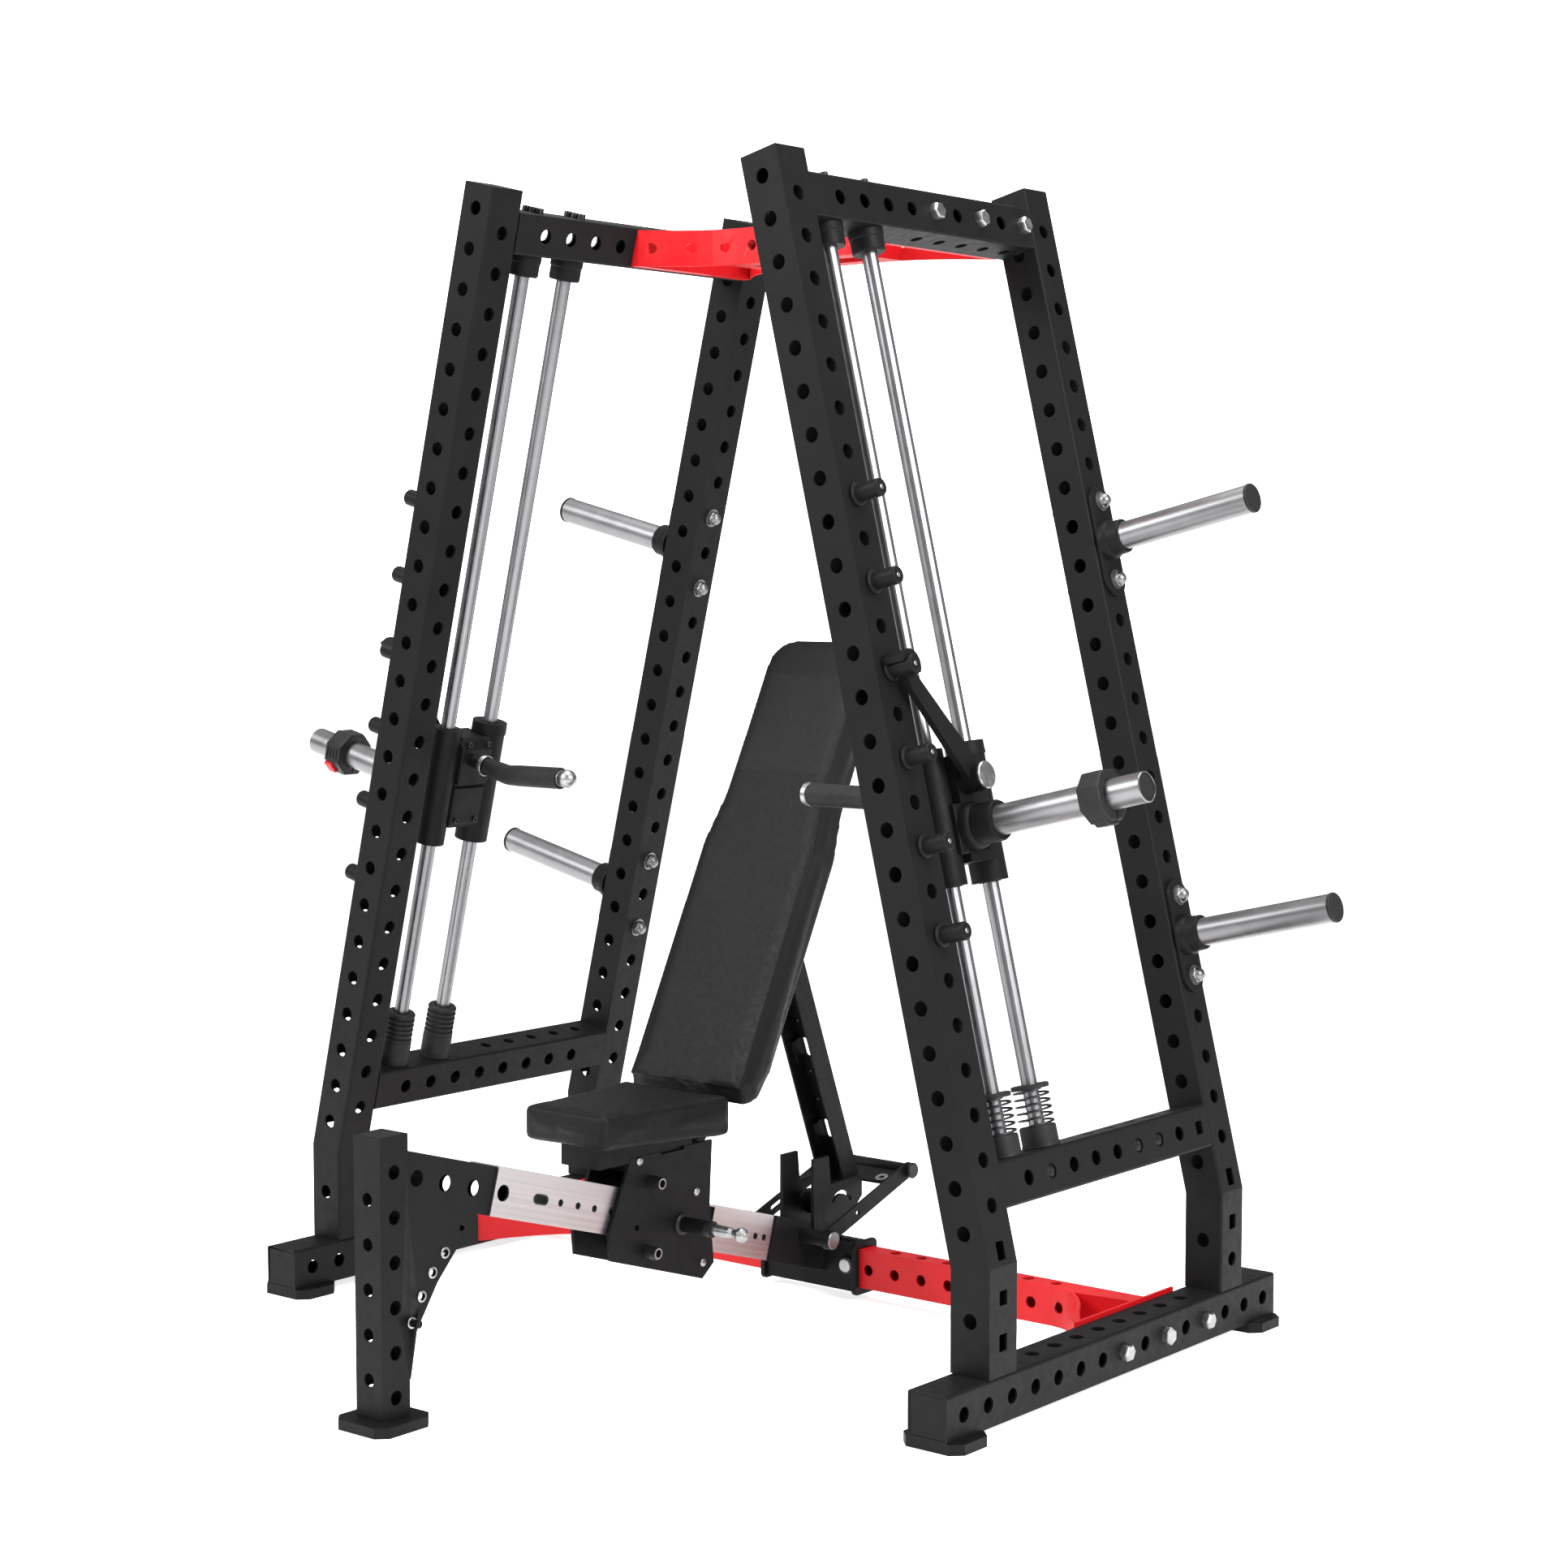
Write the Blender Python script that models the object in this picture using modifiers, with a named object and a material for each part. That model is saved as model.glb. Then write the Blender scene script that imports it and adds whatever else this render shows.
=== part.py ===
"""A smith machine with two leaning side frames, a pair of guided lifting carriages and a rail bench.

Metres, +Z up. X runs across the machine, Y from the bench post (front) to the back of the side
frames, and the feet stand on Z = 0. Every side frame leans inwards above a bend, so most of its
parts are built in a leaning frame: an empty at the bend, whose X is across the tube, outwards on
the right side, and whose Z runs up the leaning tube.
"""
from math import cos, pi, radians, sin, tan

import bmesh
import bpy
from mathutils import Matrix, Vector

COLLECTION = "smith_machine"

# Overall size and the steel sections
DEPTH = 1.5016          # bench foot to the back of the base beams
TUBE = 0.075            # square tube of the side frames
WALL = 0.004
HALF = TUBE / 2
GAP = 0.0003            # clearance between pieces that touch
BORE_GAP = 0.0006       # radial clearance of a sliding or turning fit
WELD = 0.001            # how far welded pieces run into each other

# Side frames
BASE_LENGTH = 1.0052
BASE_X = 0.7456         # centre line of a base beam
PLATE_T = 0.016         # foot plates
FOOT_WIDTH = 0.118
FOOT_LENGTH = 0.095
FOOT_CHAMFER = 0.018
BASE_TOP = PLATE_T + TUBE
FRAME_Y = DEPTH / 2 - BASE_LENGTH / 2
UPRIGHT_Y = 0.3526      # uprights, each way from the middle of the frame
LEAN = radians(13.69)
BEND_Z = 0.262
LEAN_LENGTH = 1.8165    # from the bend to the top of an upright
TOP_BEAM_D = 1.742      # heights up the lean, from the bend
LOWER_BEAM_D = 0.117
HOLE_PITCH = 0.0716
TOP_HOLE_D = 1.7382     # highest hole of the row in an upright's outer face

# Guide rods and their stops
ROD_R = 0.0135
FRONT_ROD_Y = FRAME_Y - 0.248
REAR_ROD_Y = FRAME_Y - 0.139
COLLAR_R = 0.030
COLLAR_LENGTH = 0.039
SOCKET_R = 0.032
SOCKET_TOP_D = 0.190
BUFFER_R = 0.030
BUFFER_TOP_D = 0.258

# Pins and pegs on the uprights
PIN_R = 0.015
PIN_LENGTH = 0.0525
PIN_HOLES = (7, 9, 11, 13, 15, 17)
HOOKED_HOLE = 11
PEG_HOLES = {"upper": 8, "lower": 18}
PEG_LENGTH = 0.310
PEG_R = 0.025
PEG_BORE_R = 0.022
PEG_FLANGE_R = 0.036
PEG_BOSS_R = 0.031
PEG_PLATE_T = 0.008
PEG_PLATE_WIDTH = 0.060

# Carriages
HOUSING_R = 0.0275
HOUSING_LOW_D = 0.596
FRONT_HOUSING_TOP_D = 0.820
REAR_HOUSING_TOP_D = 0.829
REAR_HOUSING_R = 0.031
REAR_RIM_R = 0.033
REAR_RIM_LENGTH = 0.022
BLOCK_INSIDE = -0.024      # from the tube's centre line
BLOCK_OVERLAP = 0.018     # the block runs into the housings
BLOCK_LOW_D = 0.630
BLOCK_TOP_D = 0.806
SHAFT_Y = FRAME_Y - 0.205
SHAFT_D = 0.764
SHAFT_R = 0.012
SLEEVE_Y = FRAME_Y - 0.2115
SLEEVE_D = 0.687
SLEEVE_LENGTH = 0.340   # all lengths outwards are from the frame's outer face
SLEEVE_R = 0.025
SLEEVE_BORE_R = 0.022
SLEEVE_BOSS_R = 0.040
SLEEVE_BOSS_LENGTH = 0.058
CLIP_AT = 0.255
CLIP_WIDTH = 0.036
CLIP_R = 0.038
LEVER_HALF = 0.024
LEVER_THICKNESS = 0.022
LEVER_NEAR, LEVER_FAR = 0.030, 0.047   # from the sleeve's axis

# Lifting hooks and handles
HUB_R = 0.0245
HUB_FROM, HUB_TO = 0.0015, 0.040
ARM_FROM, ARM_TO = 0.014, 0.026
HOOD_FROM, HOOD_TO = 0.004, 0.044
ARM_ROOT_HALF = 0.021
ARM_TIP_HALF = 0.012
HOOK_CLEARANCE = 0.0008
HOOD_T = 0.010
STUB_END = -0.170       # where the handle turns level
HANDLE_END = -0.331
GRIP_R = 0.020
GRIP_BORE_R = 0.0126
CAP_LENGTH = 0.010
RING_R = 0.018
RING_FROM, RING_TO = -0.100, -0.112
GRIP_START = 0.024      # past the bend
HOOK_LIP = 0.010

# Cross members
BOTTOM_FRONT_Y = 0.398
BOTTOM_REAR_Y = 0.438
BOTTOM_LOW_Z, BOTTOM_HIGH_Z = 0.025, 0.097
BOTTOM_FLANGE_Y = (0.2182, 0.5282)
BOTTOM_FLARE_X = 0.540
TOP_FRONT_Y = 0.3332
TOP_REAR_Y = 0.4732
TOP_FLANGE_Y = (0.2382, 0.5682)
TOP_HEIGHT = 0.066
TOP_STRAIGHT_X = 0.120
SHEET = 0.005

# Bench
BENCH_TUBE = 0.060
BENCH_HALF = BENCH_TUBE / 2
BENCH_WALL = 0.003
POST_Y = -DEPTH / 2 + FOOT_WIDTH / 2
POST_TOP_Z = 0.469
RAIL_SLOPE = radians(16.36)
RAIL_HEIGHT = 0.080
RAIL_START = (POST_Y + 0.0154, 0.4032)   # rail's mid-line where it leaves the post
RAIL_LENGTH = 0.950
GUSSET_T = 0.006
# free edge of a gusset, from the rail down to the post, Y and Z
GUSSET_EDGE = ((-0.5073, 0.307), (-0.5073, 0.263), (-0.5568, 0.263), (-0.5988, 0.218),
               (-0.6448, 0.149), (-0.6590, 0.074))
STRIP_T = 0.0035
STRIP_FRONT = (0.211, 0.535)    # lengths down the rail
STRIP_REAR = (0.776, 0.950)
STRIP_TOP_T = 0.0022
SEAT_PLATE_X = (0.0385, 0.0450)
SEAT_PLATE_EDGE = ((-0.1548, 0.348), (0.0582, 0.348), (0.0512, 0.229), (0.0622, 0.127),
                   (0.0312, 0.103), (-0.2078, 0.179), (-0.2118, 0.223))
SEAT_SPACERS = ((-0.1068, 0.300), (-0.1178, 0.180), (0.0152, 0.262), (0.0322, 0.132))
SEAT_SPACER_R = 0.009
SEAT_TABLE_Y = (-0.2350, 0.0050)
SEAT_TABLE_Z = 0.340            # its flat underside
SEAT_HINGE = (0.0452, 0.338)
HINGE_PIN_R = 0.006
SEAT_PIN_S = 0.679
SEAT_PIN_R = 0.008
SEAT_PIN_END_X = 0.195
BARREL_R = 0.0135
BARREL_END_X = 0.118
SEAT_FRONT_Y, SEAT_REAR_Y = -0.2788, 0.0202
SEAT_FRONT_Z = (0.382, 0.444)   # underside and top at the front, then at the rear
SEAT_REAR_Z = (0.370, 0.442)
SEAT_FRONT_WIDTH, SEAT_REAR_WIDTH = 0.192, 0.256
BACK_CORNER = (0.0322, 0.455)   # on the back pad's front face, Y and Z; its lengths start here
BACK_LEAN = radians(27)
BACK_THICKNESS = 0.075
BACK_LENGTH = 0.865
BACK_HALF_WIDTH = 0.134
BACK_TOP_HALF_WIDTH = 0.1155
BACK_SHOULDERS = (0.447, 0.554)  # where the pad narrows
BACK_CORNER_R = 0.055
BACK_END = -0.045
BACK_SEAT_GAP = (0.0375, 0.449)  # Y and Z of the edge that clears the seat as the back tilts
BACK_UNDERSIDE_Z = 0.4185
# what is cut away to round the pad's lower rear corner, Y and Z
BACK_REAR_CUT = ((0.060, 0.400), (0.060, 0.4185), (0.084, 0.4246), (0.0997, 0.441),
                 (0.113, 0.458), (0.1225, 0.467), (0.150, 0.460), (0.150, 0.400))
BRACKET_T = 0.018
BRACKET_LENGTH = 0.400
STRUT_TOP = (0.2815, 0.7128)
STRUT_FOOT = (0.4842, 0.193)
STRUT_HALF_WIDTH = 0.032
STRUT_DEPTH = 0.043
STRUT_SHEET = 0.004
STRUT_SLOT_R = 0.0115
YOKE_PIVOT = (0.3252, 0.1265)
YOKE_END = (0.5782, 0.214)
YOKE_X = (0.0875, 0.0925)
YOKE_HALF = 0.015
SADDLE_HALF_WIDTH = 0.110
RECEIVER_HALF_WIDTH = 0.037
LUG_X = (0.0335, 0.0405)
LUG_EDGE = ((0.3532, 0.120), (0.3532, 0.263), (0.3982, 0.263), (0.4042, 0.208), (0.5000, 0.212),
            (0.5000, 0.172), (0.4300, 0.110), (0.3900, 0.110))
ROLLER_AT = (0.4362, 0.158)
ROLLER_R = 0.020
LUG_SLOT_RADII = (0.027, 0.034)  # a curved slot around the roller
LUG_SLOT_ANGLES = (20, 150)
PIVOT_R = 0.0080
KNOB_R = 0.018
KNOB_END_X = 0.1085
PIVOT_SPACER_R = 0.014

SIDES = (("right", 1), ("left", -1))
YZ_PLANE = Matrix(((0, 0, 1, 0), (1, 0, 0, 0), (0, 1, 0, 0), (0, 0, 0, 1)))
XZ_PLANE = Matrix(((1, 0, 0, 0), (0, 0, -1, 0), (0, 1, 0, 0), (0, 0, 0, 1)))

FINISHES = {
    "black_steel": ((0.028, 0.029, 0.031), 0.50, 0.35),
    "red_steel": ((0.60, 0.020, 0.028), 0.42, 0.10),
    "chrome": ((0.62, 0.62, 0.63), 0.16, 1.0),
    "stainless": ((0.55, 0.54, 0.54), 0.32, 1.0),
    "rubber": ((0.020, 0.020, 0.021), 0.80, 0.0),
    "spring_steel": ((0.022, 0.022, 0.023), 0.55, 0.3),
    "clip_plastic": ((0.030, 0.031, 0.033), 0.45, 0.0),
    "vinyl": ((0.042, 0.044, 0.047), 0.48, 0.0),
}


# ---------------------------------------------------------------- scene and modelling helpers

def clear_scene():
    for obj in list(bpy.data.objects):
        bpy.data.objects.remove(obj, do_unlink=True)


def collection(name):
    found = bpy.data.collections.get(name) or bpy.data.collections.new(name)
    if name not in bpy.context.scene.collection.children:
        bpy.context.scene.collection.children.link(found)
    return found


def material(name, finish):
    colour, roughness, metallic = FINISHES[finish]
    made = bpy.data.materials.new(name)
    made.use_nodes = True
    shader = made.node_tree.nodes["Principled BSDF"]
    shader.inputs["Base Color"].default_value = (*colour, 1)
    shader.inputs["Roughness"].default_value = roughness
    shader.inputs["Metallic"].default_value = metallic
    return made


def shape(mesh):
    """A working object, which combine() or finish() uses up."""
    obj = bpy.data.objects.new("shape", mesh)
    collection(COLLECTION).objects.link(obj)
    return obj


def baked(obj):
    """Replace an object, modifiers and all, by a plain closed mesh in the same place."""
    bpy.context.view_layer.update()
    evaluated = obj.evaluated_get(bpy.context.evaluated_depsgraph_get())
    mesh = bpy.data.meshes.new_from_object(evaluated)
    mesh.transform(obj.matrix_world)
    bpy.data.objects.remove(obj, do_unlink=True)
    work = bmesh.new()
    work.from_mesh(mesh)
    bmesh.ops.remove_doubles(work, verts=work.verts, dist=0.000005)
    bmesh.ops.dissolve_degenerate(work, edges=work.edges, dist=0.000005)
    bmesh.ops.recalc_face_normals(work, faces=work.faces)
    work.to_mesh(mesh)
    work.free()
    return shape(mesh)


def combine(base, others, operation="UNION"):
    for other in others:
        step = base.modifiers.new("combine", "BOOLEAN")
        step.operation = operation
        step.solver = "EXACT"
        step.object = other
    made = baked(base)
    for other in others:
        bpy.data.objects.remove(other, do_unlink=True)
    return made


def cut(base, *tools):
    return combine(base, tools, "DIFFERENCE")


def join(base, *others):
    return combine(base, others, "UNION")


def box(low, high):
    work = bmesh.new()
    bmesh.ops.create_cube(work, size=1)
    size = Vector(high) - Vector(low)
    middle = (Vector(high) + Vector(low)) / 2
    stretch = Matrix.Diagonal((*size, 1))
    bmesh.ops.transform(work, verts=work.verts, matrix=Matrix.Translation(middle) @ stretch)
    mesh = bpy.data.meshes.new("box")
    work.to_mesh(mesh)
    work.free()
    return shape(mesh)


def rod(start, end, radius, segments=24):
    """A round bar between two points."""
    start, end = Vector(start), Vector(end)
    work = bmesh.new()
    turn = (end - start).to_track_quat("Z", "Y").to_matrix().to_4x4()
    bmesh.ops.create_cone(
        work, cap_ends=True, segments=segments, radius1=radius, radius2=radius,
        depth=(end - start).length, matrix=Matrix.Translation((start + end) / 2) @ turn)
    mesh = bpy.data.meshes.new("rod")
    work.to_mesh(mesh)
    work.free()
    return shape(mesh)


def turned(profile, segments=32):
    """A closed outline of (radius, height) points turned about Z."""
    work = bmesh.new()
    points = [work.verts.new((radius, 0, height)) for radius, height in profile]
    closed = min(radius for radius, _ in profile) > 0
    for first, second in zip(points, points[1:] + points[:1] if closed else points[1:]):
        work.edges.new((first, second))
    mesh = bpy.data.meshes.new("turned")
    work.to_mesh(mesh)
    work.free()
    obj = shape(mesh)
    screw = obj.modifiers.new("turn", "SCREW")
    screw.steps = segments
    screw.render_steps = segments
    screw.use_merge_vertices = True
    screw.merge_threshold = 0.00001
    return baked(obj)


def moved(obj, matrix):
    obj.data.transform(matrix)
    return obj


def plate(outlines, low, high, plane=YZ_PLANE):
    """A flat sheet from closed outlines; the second and later ones are its holes."""
    curve = bpy.data.curves.new("plate", "CURVE")
    curve.dimensions = "2D"
    curve.fill_mode = "BOTH"
    curve.extrude = (high - low) / 2
    for outline in outlines:
        spline = curve.splines.new("POLY")
        spline.points.add(len(outline) - 1)
        spline.use_cyclic_u = True
        for point, (u, v) in zip(spline.points, outline):
            point.co = (u, v, 0, 1)
    obj = bpy.data.objects.new("plate", curve)
    collection(COLLECTION).objects.link(obj)
    obj.matrix_world = plane @ Matrix.Translation((0, 0, (high + low) / 2))
    return baked(obj)


def arc(centre, radius, start, end, steps):
    """Points of an arc, with its angles in degrees."""
    angles = [radians(start + (end - start) * step / steps) for step in range(steps + 1)]
    return [(centre[0] + radius * cos(angle), centre[1] + radius * sin(angle)) for angle in angles]


def capsule(start, end, half_width, steps=6):
    """An outline with round ends between two points."""
    run = Vector(end) - Vector(start)
    heading = run.angle_signed(Vector((1, 0))) * 180 / pi
    return (arc(end, half_width, heading - 90, heading + 90, steps)
            + arc(start, half_width, heading + 90, heading + 270, steps))


def bevelled(obj, width, segments=3, limit=40):
    step = obj.modifiers.new("round", "BEVEL")
    step.width = width
    step.segments = segments
    step.limit_method = "ANGLE"
    step.angle_limit = radians(limit)
    return baked(obj)


def finish(obj, name, look, parent=None, origin=(0, 0, 0)):
    """Name a finished solid, give it its material and put its origin where it turns or slides."""
    obj.data.transform(Matrix.Translation(-Vector(origin)))
    obj.location = origin
    obj.parent = parent
    obj.name = name
    obj.data.name = name
    obj.data.materials.clear()
    obj.data.materials.append(material(name, look))
    return obj


def empty(name, location, rotation=(0, 0, 0)):
    obj = bpy.data.objects.new(name, None)
    obj.location = location
    obj.rotation_euler = rotation
    obj.empty_display_size = 0.1
    collection(COLLECTION).objects.link(obj)
    return obj


# ---------------------------------------------------------------- side frames

def on_lean(outwards, up):
    """X and Z of a point in the leaning part of the right side frame."""
    return (BASE_X + outwards * cos(LEAN) - up * sin(LEAN),
            BEND_Z + outwards * sin(LEAN) + up * cos(LEAN))


def hole_d(index):
    """Height up the lean of a hole in an upright's outer face."""
    return TOP_HOLE_D - index * HOLE_PITCH


def base_beam(name, side):
    x = side * BASE_X
    front, rear = FRAME_Y - BASE_LENGTH / 2, FRAME_Y + BASE_LENGTH / 2
    feet = []
    for near, far in ((front, front + FOOT_LENGTH), (rear - FOOT_LENGTH, rear)):
        feet.append(foot_plate(x, (near + far) / 2, FOOT_LENGTH))
    beam = box((x - HALF, front, PLATE_T), (x + HALF, rear, BASE_TOP))
    inner = HALF - WALL
    bore = box((x - inner, front - WALL, PLATE_T + WALL), (x + inner, rear + WALL, BASE_TOP - WALL))
    finish(cut(join(beam, *feet), bore), name, "black_steel")


def foot_plate(x, y, length):
    half_x, half_y, corner = FOOT_WIDTH / 2, length / 2, FOOT_CHAMFER
    outline = []
    for sign_x, sign_y, swap in ((1, 1, 0), (-1, 1, 1), (-1, -1, 0), (1, -1, 1)):
        pair = [(x + sign_x * half_x, y + sign_y * (half_y - corner)),
                (x + sign_x * (half_x - corner), y + sign_y * half_y)]
        outline += reversed(pair) if swap else pair
    return plate([outline], 0, PLATE_T + WELD, Matrix.Identity(4))


def upright(name, side, y):
    def outline(half, extra):
        bend = half * tan(LEAN / 2)
        points = [(BASE_X + half, BASE_TOP + GAP - extra), (BASE_X + half, BEND_Z + bend),
                  on_lean(half, LEAN_LENGTH + extra), on_lean(-half, LEAN_LENGTH + extra),
                  (BASE_X - half, BEND_Z - bend), (BASE_X - half, BASE_TOP + GAP - extra)]
        return [(side * x, z) for x, z in points]

    inner = HALF - WALL
    tube = plate([outline(HALF, 0)], -y - HALF, -y + HALF, XZ_PLANE)
    bore = plate([outline(inner, WALL)], -y - inner, -y + inner, XZ_PLANE)
    finish(cut(tube, bore), name, "black_steel")


def square_tube(x, z, front, rear):
    """A square tube along Y."""
    def ring(half):
        return [(x - half, z - half), (x + half, z - half), (x + half, z + half), (x - half, z + half)]
    return plate([ring(HALF), ring(HALF - WALL)], -rear, -front, XZ_PLANE)


def frame_beam(name, lean, d):
    front = FRAME_Y - UPRIGHT_Y + HALF + GAP
    rear = FRAME_Y + UPRIGHT_Y - HALF - GAP
    finish(square_tube(0, d, front, rear), name, "black_steel", lean)


# ---------------------------------------------------------------- guide rods and stops

def stand_on_lean(obj, y):
    return moved(obj, Matrix.Translation((0, y, 0)))


def ring_profile(inner, outer, low, high):
    return [(inner, low), (outer, low), (outer, high), (inner, high)]


def guide_rod(name, lean, y):
    low, high = LOWER_BEAM_D + HALF + GAP, TOP_BEAM_D - HALF - GAP
    finish(rod((0, y, low), (0, y, high), ROD_R), name, "chrome", lean)


def rod_collar(name, lean, y):
    top = TOP_BEAM_D - HALF - 2 * GAP
    profile = ring_profile(ROD_R + GAP, COLLAR_R, top - COLLAR_LENGTH, top)
    finish(stand_on_lean(turned(profile, 24), y), name, "black_steel", lean)


def buffer(name, lean, y):
    bore = ROD_R + GAP
    low = LOWER_BEAM_D + HALF + 2 * GAP
    profile = [(bore, low), (SOCKET_R, low), (SOCKET_R, SOCKET_TOP_D), (BUFFER_R, SOCKET_TOP_D),
               (BUFFER_R, BUFFER_TOP_D), (bore, BUFFER_TOP_D)]
    finish(stand_on_lean(turned(profile, 24), y), name, "spring_steel", lean)


# ---------------------------------------------------------------- pins and pegs

def outwards(side, y, d):
    """Turn a shape built up Z so that it points outwards from the frame's outer face."""
    turn = Matrix.Rotation(side * pi / 2, 4, "Y")
    return Matrix.Translation((side * HALF, y, d)) @ turn


def lock_pin(name, lean, side, d):
    y = FRAME_Y - UPRIGHT_Y
    made = rod((side * (HALF + GAP), y, d), (side * (HALF + PIN_LENGTH), y, d), PIN_R, 20)
    finish(made, name, "black_steel", lean)


def storage_peg(name, lean, side, d):
    y = FRAME_Y + UPRIGHT_Y
    tube = [(0, 0.004), (PEG_FLANGE_R, 0.004), (PEG_FLANGE_R, 0.018), (PEG_BOSS_R, 0.024),
            (PEG_BOSS_R, 0.045), (PEG_R, 0.045), (PEG_R, PEG_LENGTH), (PEG_BORE_R, PEG_LENGTH),
            (PEG_BORE_R, 0.050), (0, 0.050)]
    peg = moved(turned(tube, 24), outwards(side, y, d))
    outline = capsule((y, d - HOLE_PITCH), (y, d + HOLE_PITCH), PEG_PLATE_WIDTH / 2)
    faces = sorted((side * (HALF + GAP), side * (HALF + PEG_PLATE_T)))
    finish(join(peg, plate([outline], *faces)), name, "black_steel", lean)


# ---------------------------------------------------------------- carriages

def carriage(name, lean, side):
    bore = ROD_R + BORE_GAP
    low = HOUSING_LOW_D
    rim = REAR_HOUSING_TOP_D - REAR_RIM_LENGTH
    front = turned(ring_profile(bore, HOUSING_R, low, FRONT_HOUSING_TOP_D), 24)
    rear = turned([(bore, low), (REAR_HOUSING_R, low), (REAR_HOUSING_R, rim), (REAR_RIM_R, rim),
                   (REAR_RIM_R, REAR_HOUSING_TOP_D), (bore, REAR_HOUSING_TOP_D)], 24)
    stand_on_lean(front, FRONT_ROD_Y)
    stand_on_lean(rear, REAR_ROD_Y)
    edges = sorted((side * BLOCK_INSIDE, side * (HALF - GAP)))
    block = box((edges[0], FRONT_ROD_Y + BLOCK_OVERLAP, BLOCK_LOW_D),
                (edges[1], REAR_ROD_Y - BLOCK_OVERLAP, BLOCK_TOP_D))
    reach = TUBE
    shaft_hole = rod((-reach, SHAFT_Y, SHAFT_D), (reach, SHAFT_Y, SHAFT_D), SHAFT_R + BORE_GAP)
    made = cut(join(block, front, rear), shaft_hole)
    finish(made, name, "black_steel", lean, (0, FRONT_ROD_Y, HOUSING_LOW_D))


def weight_sleeve(name, lean, side):
    end = SLEEVE_LENGTH
    profile = [(0, GAP), (SLEEVE_BOSS_R, GAP), (SLEEVE_BOSS_R, 0.012), (0.034, 0.018),
               (0.034, SLEEVE_BOSS_LENGTH), (SLEEVE_R, SLEEVE_BOSS_LENGTH), (SLEEVE_R, end),
               (SLEEVE_BORE_R, end), (SLEEVE_BORE_R, SLEEVE_BOSS_LENGTH), (0, SLEEVE_BOSS_LENGTH)]
    made = moved(turned(profile), outwards(side, SLEEVE_Y, SLEEVE_D))
    finish(made, name, "chrome", lean)


def sleeve_clip(name, lean, side):
    bore = SLEEVE_R + BORE_GAP
    low, high = CLIP_AT - CLIP_WIDTH / 2, CLIP_AT + CLIP_WIDTH / 2
    ring = moved(turned(ring_profile(bore, CLIP_R, low, high)), outwards(side, SLEEVE_Y, SLEEVE_D))
    half = LEVER_THICKNESS / 2
    x = sorted(side * (HALF + length) for length in (CLIP_AT - half, CLIP_AT + half))
    lever = box((x[0], SLEEVE_Y - LEVER_HALF, SLEEVE_D - LEVER_FAR),
                (x[1], SLEEVE_Y + LEVER_HALF, SLEEVE_D - LEVER_NEAR))
    finish(join(ring, lever), name, "clip_plastic", lean,
           (side * (HALF + CLIP_AT), SLEEVE_Y, SLEEVE_D))


# ---------------------------------------------------------------- hooks and handles

def hook_arm_outlines():
    """Outlines (Y, height) of the arm and of the hood that reaches over the pin."""
    pivot = Vector((SHAFT_Y, SHAFT_D))
    pin = Vector((FRAME_Y - UPRIGHT_Y, hole_d(HOOKED_HOLE)))
    along = (pin - pivot).normalized()
    rearwards = Vector((along.y, -along.x))
    if rearwards.x < 0:
        rearwards = -rearwards
    reach = (pin - pivot).length
    notch = PIN_R + HOOK_CLEARANCE
    heading = along.angle_signed(Vector((1, 0))) * 180 / pi

    def at(length, back):
        point = pivot + along * length + rearwards * back
        return (point.x, point.y)

    # the notch is a half circle about the pin, open to the front
    clockwise = Vector((cos(radians(heading - 90)), sin(radians(heading - 90))))
    turn = 90 if rearwards.dot(clockwise) > 0 else -90
    inner = arc(pin, notch, heading - 2 * turn, heading, 10)
    outer = arc(pin, notch + HOOD_T, heading, heading - 2 * turn, 10)
    arm = ([at(0, -ARM_ROOT_HALF), at(reach - 2.6 * PIN_R, -ARM_TIP_HALF), at(reach - notch, -0.002)]
           + inner[1:-1] + [at(reach + notch, 0), at(reach + notch, -HOOK_LIP),
                            at(reach + notch + HOOD_T, 0.002 - HOOK_LIP)]
           + outer[1:5] + [at(reach - 2.6 * PIN_R, ARM_TIP_HALF + 0.006), at(0, ARM_ROOT_HALF)])
    hood = ([at(reach - notch, 0)] + inner[1:-1] + [at(reach + notch, 0), at(reach + notch, -HOOK_LIP),
            at(reach + notch + HOOD_T, 0.002 - HOOK_LIP)] + outer[1:-1])
    return arm, hood


def handle_path():
    """Offsets from the frame's outer face and heights of the bent bar's centre line."""
    level = Vector((-cos(LEAN), sin(LEAN)))
    bend_from, bend_to = STUB_END + 0.020, 0.020
    corner = Vector((STUB_END, SHAFT_D))
    end = corner + level * ((HANDLE_END - STUB_END) / level.x)
    path = [Vector((HUB_TO - 0.010, SHAFT_D)), Vector((bend_from, SHAFT_D))]
    for step in range(1, 4):
        t = step / 4
        first = Vector((bend_from, SHAFT_D)).lerp(corner, t)
        second = corner.lerp(corner + level * bend_to, t)
        path.append(first.lerp(second, t))
    return path + [corner + level * bend_to, end], corner, end, level


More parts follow.
